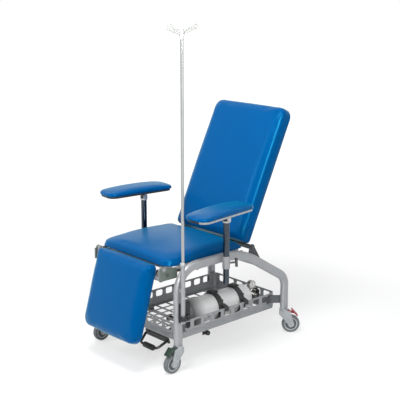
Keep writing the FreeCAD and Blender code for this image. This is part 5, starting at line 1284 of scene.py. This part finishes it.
# %% Moulded pedals
PADDLE_GRID = 1.5
PADDLE_TURNS = 14
for corner in CORNERS:
    name = "moulded_pedal_" + corner
    paddle = plain_copy("brake_" + corner, name)
    even_grid(paddle, PADDLE_GRID)
    round_over(paddle, np.zeros(len(paddle.data.vertices), bool), PADDLE_TURNS)
    front = corner.startswith("front")
    paint, slot = (brake_green, "brake_green") if front else (brake_red, "brake_red")
    settle(paddle, name, "brake_" + corner, paint, slot, 180.0)
    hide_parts("brake_" + corner)
print("pedals moulded")

# %% [markdown]
# ## Small fittings
#
# A moulded collar guides the rod where it leaves its tube, and a round grip covers
# the bar of the foot pedal.

# %% Collar and grip
hook_turn = joint_place("hook_turn")
POLE = Vector((hook_turn.x, hook_turn.y, 0.0))
UP = (0, 0, 1)
COLLAR = [(8.1, -6), (12.6, -6), (14.0, -4), (14.0, 5), (12.4, 9), (9.6, 12), (8.1, 12), (8.1, -6)]
collar_place = POLE + Vector((0, 0, 0.566))
turned_part("rod_guide_collar", COLLAR, collar_place, UP, "chassis", castor_nylon, "black_plastic")
PEDAL_BAR = (0.031, -0.3637, 0.0445)
GRIP = [(0, -40), (9, -40), (14, -37.5), (15.5, -33), (15.5, 33), (14, 37.5), (9, 40), (0, 40)]
grip_finish = ("foot_pedal", black_nylon, "black_plastic")
grip = turned_part("pedal_grip", GRIP, PEDAL_BAR, RIGHT, *grip_finish)
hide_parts("pedal_tread")
print("fittings made")

# %% [markdown]
# ## Pole clamp
#
# The infusion pole stands in a clamp on the front leg: a moulded black block, a
# plain tube end through it with a ring round it, and a round locking knob.

# %% Slim pole tube
POLE_STEPS = 64
TAB = (9.5, 14.0, 18.0)
SLIM_TUBE = [(8.4, 319.0), (11.5, 319.0), (11.5, 559.8), (8.4, 559.8), (8.4, 319.0)]
TUBE_FINISH = ("chassis", silver_grey, "frame_paint")
slim_tube = turned_part("pole_tube_slim", SLIM_TUBE, POLE, UP, *TUBE_FINISH, POLE_STEPS)
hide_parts("pole_tube")
for height in (345.0, 430.0):
    tab = cube_at("tube_tab", (POLE.x - 14.5 * MM, POLE.y, height * MM), TAB)
    soften(tab, 1.0 * MM, 2)
    settle(tab, f"pole_tube_tab_{height:.0f}", *TUBE_FINISH)
    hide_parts("pole_tube")
print("pole tube turned")

# %% Clamp block, tube end and knob
BLOCK = (14.0, 66.0, 100.0)
BLOCK_PLACE = (0.3185, -0.3665, 0.314)
block = cube_at("clamp_block", BLOCK_PLACE, BLOCK)
select_faces(block, lambda centre, normal: abs(normal.x) > 0.9)
bpy.ops.mesh.inset(thickness=6.0 * MM, depth=-1.2 * MM)
bpy.ops.object.mode_set(mode="OBJECT")
soften(block, 2.5 * MM, 3)
settle(block, "clamp_block", *BLACK_FITTING)
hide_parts("pole_clamp")
TUBE_END = [(8.4, 262.0), (10.6, 262.0), (11.5, 263.5), (11.5, 319.0), (8.4, 319.0), (8.4, 262.0)]
end_finish = ("chassis", silver_grey, "pole_paint")
tube_end = turned_part("clamp_tube_end", TUBE_END, POLE, UP, *end_finish, POLE_STEPS)
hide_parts("pole_clamp")
CLAMP_RING = [(11.6, 277.0), (17.0, 277.0), (18.0, 279.0), (18.0, 301.0), (17.0, 303.0)]
CLAMP_RING += [(11.6, 303.0), (11.6, 277.0)]
ring = turned_part("clamp_ring", CLAMP_RING, POLE, UP, *BLACK_FITTING, POLE_STEPS)
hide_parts("pole_clamp")
CLAMP_KNOB = [(0, 14.0), (6.0, 14.0), (6.0, 22.0), (11.0, 24.0), (12.5, 27.0), (12.5, 40.0)]
CLAMP_KNOB += [(10.0, 43.0), (0, 43.5)]
knob_place = POLE + Vector((0, 0, 0.290))
clamp_knob = turned_part("clamp_knob", CLAMP_KNOB, knob_place, (0, 1, 0), *BLACK_FITTING, 40)
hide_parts("pole_clamp")
print("pole clamp fitted")
